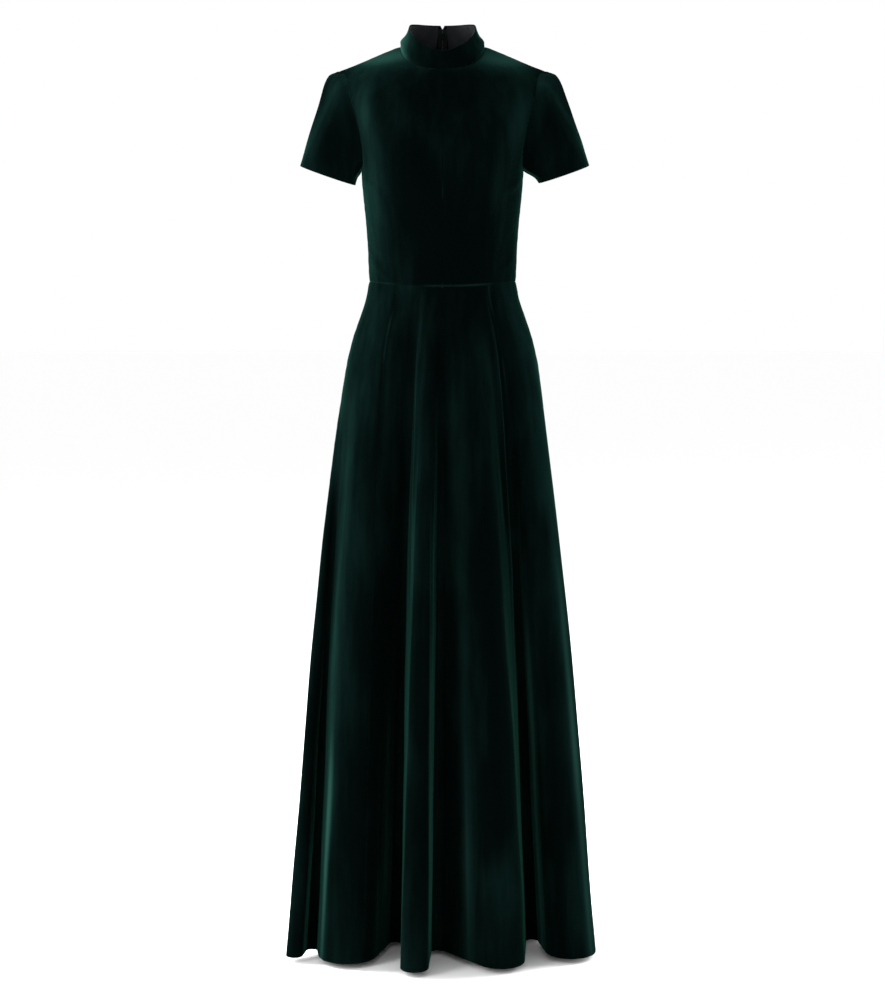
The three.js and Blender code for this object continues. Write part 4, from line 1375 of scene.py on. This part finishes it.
def zip_stretches(side):
    """The three stretches that the zip runs down: the steps along each, and its surface, by how far from
    the opening and how far along."""
    end = 0 if side < 0 else 4
    gore_end = 0 if side < 0 else 1
    return [
        (np.linspace(COLLAR["notch_from"], 0, 40), lambda s, v: collar(end - side * s, v)),
        (np.linspace(NECK_STEP, 0, 260)[1:], lambda s, v: panel(s, v, side, False)),
        (np.linspace(0, ZIP_END, 90)[1:], lambda s, v: skirt(gore_end - side * s, v)),
    ]


def zip_lines(side, offsets):
    """Places and outward directions down the zip, at a few millimetres from the opening's edge."""
    unit_step = 1e-3
    places, normals = [], []
    for steps, surface in zip_stretches(side):
        none = np.zeros_like(steps)
        moved = surface(none + unit_step, steps) - surface(none, steps)
        per_step = np.linalg.norm(moved, axis=-1) / unit_step
        s = np.array(offsets)[:, None] / per_step
        v = np.broadcast_to(steps, s.shape)
        out = normal_of(surface, s, v, 1)
        normals.append(out * np.where(out[..., 1:2] < 0, -1, 1))
        places.append(surface(s, v))
    return np.concatenate(places, axis=1), np.concatenate(normals, axis=1)


def slider_height():
    """The height of the slider's middle, in millimetres."""
    low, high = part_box("zip_slider")
    return (low.z + high.z) / 2 / MM


def sew_tape(word):
    """One side of the zip's woven tape, behind the edge of the opening."""
    _, _, look = looks()
    side = SIDES[word]
    places, normals = zip_lines(side, np.linspace(TAPE["from"], TAPE["to"], 9))
    points = places - normals * TAPE["depth"]
    by_slider = bell(points[..., 2] - slider_height(), TAPE["aside_reach"])
    points[..., 0] += side * TAPE["aside"] * by_slider * bell(np.abs(points[..., 0]), 4)
    rise = -0.12 * bell(points[..., 0] - side * 3.2, 0.5)
    thick = np.full(rise.shape, TAPE["thick"])
    woven = material("tape", weave, "tape_weave", look.tape, look.tape_light, 2, 0.8)
    made = shell(f"cloth_zip_tape_{word}", points, normals, side, rise, thick, woven)
    put_on(made, f"zip_tape_{word}", "zip_tape", **CUTS["zip_tape"])


def wind_coil(word):
    """One side of the zip's coil: a helix along its tape's edge, cos and sin of the length over its pitch
    across and in depth, half a turn from the other side's. It leaves room for the slider."""
    _, _, look = looks()
    side = SIDES[word]
    places, normals = zip_lines(side, (0, 0.01))
    line, out = places[0], normals[0]
    run = lengths(line[:, None], 0)[:, 0]
    at_slider = np.interp(-slider_height(), -line[:, 2], run)
    spans = [(0, at_slider - COIL["room"]), (at_slider + COIL["room"], run[-1])]
    vertices, faces, total = [], [], 0
    for first, last in spans:
        turns = (last - first) / COIL["pitch"]
        if turns < 1:
            continue
        length = np.linspace(first, last, int(turns * COIL["points"]))
        centre = np.stack([np.interp(length, run, line[:, i]) for i in range(3)], -1)
        way = unit(np.stack([np.interp(length, run, out[:, i]) for i in range(3)], -1))
        centre = centre - way * COIL["depth"] + np.array((side * COIL["off"], 0, 0))
        angle = (2 * np.pi * length / COIL["pitch"] + (np.pi if side > 0 else 0))[:, None]
        sideways = np.array((side * COIL["across"], 0, 0))
        radial = sideways * np.cos(angle) + way * COIL["deep"] * np.sin(angle)
        points, quads = tube(centre + radial, COIL["wire"], radial)
        vertices.append(points)
        faces.append(quads + total)
        total += len(points)
    smooth_nylon = material("coil", nylon, look.tape)
    made = new_object(f"zip_coil_{word}", np.concatenate(vertices), np.concatenate(faces), smooth_nylon)
    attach(made, "gown")


def cast(node, name, body_name, radius):
    """A cast piece on its node's own solid, merged, with its edges rounded by a bevel of that radius."""
    _, _, look = looks()
    work = bmesh.new()
    work.from_mesh(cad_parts[node].data)
    bmesh.ops.remove_doubles(work, verts=work.verts, dist=2e-6)
    bmesh.ops.dissolve_limit(work, angle_limit=np.radians(3), verts=work.verts, edges=work.edges)
    mesh = bpy.data.meshes.new(name)
    work.to_mesh(mesh)
    work.free()
    mesh.materials.clear()
    mesh.materials.append(material("lacquer", lacquer, look))
    made = bpy.data.objects.new(name, mesh)
    bpy.context.scene.collection.objects.link(made)
    bevel = made.modifiers.new("rounded edges", "BEVEL")
    bevel.width = radius
    bevel.segments = 3
    bevel.limit_method = "ANGLE"
    bevel.angle_limit = np.radians(35)
    mesh.shade_smooth()
    mesh.set_sharp_from_angle(angle=np.radians(35))
    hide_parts(node)
    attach(made, body_name)


def lay_floor():
    """A round pale floor, a little below the hem."""
    _, _, look = looks()
    radii = np.array((0.01, 0.5, 1, 2, 4, 8, 16, 40)) / MM
    angle = np.linspace(0, 2 * np.pi, 97)
    radius, turn = np.meshgrid(radii, angle, indexing="ij")
    points = place(radius * np.cos(turn), radius * np.sin(turn), FLOOR_Z / MM)
    ids = np.arange(points[..., 0].size).reshape(points.shape[:2])
    quads = np.stack([ids[:-1, :-1], ids[1:, :-1], ids[1:, 1:], ids[:-1, 1:]], -1).reshape(-1, 4)
    paint = material("floor", floor_paint, look.floor)
    new_object("studio_floor", points.reshape(-1, 3), quads, paint)


def hang_light(name, place_, size, aim, power):
    """A large soft rectangular light that faces a point."""
    lamp = bpy.data.lights.new(name, "AREA")
    lamp.shape = "RECTANGLE"
    lamp.size, lamp.size_y = size
    lamp.energy = power
    made = bpy.data.objects.new(name, lamp)
    made.location = place_
    made.rotation_euler = (Vector(aim) - Vector(place_)).to_track_quat("-Z", "Y").to_euler()
    bpy.context.scene.collection.objects.link(made)


def white_surround(strength):
    """A plain white surround."""
    world = bpy.data.worlds.new("surround")
    world.use_nodes = True
    background = world.node_tree.nodes["Background"]
    background.inputs["Color"].default_value = (1, 1, 1, 1)
    background.inputs["Strength"].default_value = strength
    bpy.context.scene.world = world


def stand_camera():
    """The camera: as high and as far away as the picture was taken from, tilted down a little."""
    data = bpy.data.cameras.new("camera")
    wide, high = CAMERA["frame_px"]
    data.sensor_fit = "AUTO"
    data.sensor_width = 24
    data.lens = data.sensor_width * CAMERA["reach_px"] / max(wide, high)
    made = bpy.data.objects.new("camera", data)
    made.location = CAMERA["place"]
    made.rotation_euler = (np.radians(90 - CAMERA["tilt"]), 0, 0)
    bpy.context.scene.collection.objects.link(made)
    bpy.context.scene.camera = made


# Operators


class GOWN_OT_bodice(bpy.types.Operator):
    """Sew the bodice: two front and two back panels with their darts"""

    bl_idname = "gown.bodice"
    bl_label = "Bodice"

    def execute(self, context):
        for word in SIDES:
            sew_panel(word, True)
            sew_panel(word, False)
        return {"FINISHED"}


class GOWN_OT_sleeves(bpy.types.Operator):
    """Set in the two short sleeves"""

    bl_idname = "gown.sleeves"
    bl_label = "Sleeves"

    def execute(self, context):
        for word in SIDES:
            sew_sleeve(word)
        return {"FINISHED"}


class GOWN_OT_collar(bpy.types.Operator):
    """Sew on the stand collar and its lining"""

    bl_idname = "gown.collar"
    bl_label = "Collar"

    def execute(self, context):
        sew_collar()
        line_collar()
        return {"FINISHED"}


class GOWN_OT_skirt(bpy.types.Operator):
    """Sew the skirt's eight gores"""

    bl_idname = "gown.skirt"
    bl_label = "Skirt"

    def execute(self, context):
        measured = measure_of(skirt)
        for name, row in GORES.items():
            sew_gore(name, row, measured)
        return {"FINISHED"}


class GOWN_OT_zip(bpy.types.Operator):
    """Put in the zip: tapes, coils, slider and pull"""

    bl_idname = "gown.zip"
    bl_label = "Zip"

    def execute(self, context):
        for word in SIDES:
            sew_tape(word)
            wind_coil(word)
        cast("zip_slider", "zip_slider_cast", "gown", 0.00022)
        cast("zip_pull", "zip_pull_cast", "pull", 0.0003)
        return {"FINISHED"}


class GOWN_OT_stage(bpy.types.Operator):
    """Set up the camera, the floor and the lights"""

    bl_idname = "gown.stage"
    bl_label = "Stage"

    def execute(self, context):
        _, _, look = looks()
        stand_camera()
        lay_floor()
        white_surround(look.surround)
        for name in LIGHTS:
            hang_light(f"{name}_light", *LIGHTS[name], getattr(look, f"{name}_light"))
        context.scene.view_settings.view_transform = "Standard"
        return {"FINISHED"}


OPERATORS = (GOWN_OT_bodice, GOWN_OT_sleeves, GOWN_OT_collar, GOWN_OT_skirt, GOWN_OT_zip, GOWN_OT_stage)


class GOWN_PT_panel(bpy.types.Panel):
    """Lists the gown's pieces and settings"""

    bl_idname = "GOWN_PT_panel"
    bl_label = "Evening gown"
    bl_space_type = "VIEW_3D"
    bl_region_type = "UI"
    bl_category = "Gown"

    def draw(self, context):
        for operator in OPERATORS:
            self.layout.operator(operator.bl_idname)
        for group in looks():
            box = self.layout.box()
            for name in group.__annotations__:
                box.prop(group, name)


CLASSES = (GownCloth, GownSeams, GownLook, *OPERATORS, GOWN_PT_panel)


def register():
    """Adds the classes, and the settings to the scene."""
    for cls in CLASSES:
        bpy.utils.register_class(cls)
    bpy.types.Scene.gown_cloth = bpy.props.PointerProperty(type=GownCloth)
    bpy.types.Scene.gown_seams = bpy.props.PointerProperty(type=GownSeams)
    bpy.types.Scene.gown_look = bpy.props.PointerProperty(type=GownLook)


def unregister():
    """Takes the settings and the classes away again."""
    del bpy.types.Scene.gown_cloth, bpy.types.Scene.gown_seams, bpy.types.Scene.gown_look
    for cls in reversed(CLASSES):
        bpy.utils.unregister_class(cls)


def main():
    """Makes every piece and the stage."""
    register()
    for operator in OPERATORS:
        group, name = operator.bl_idname.split(".")
        getattr(getattr(bpy.ops, group), name)()


if __name__ == "__main__":
    main()
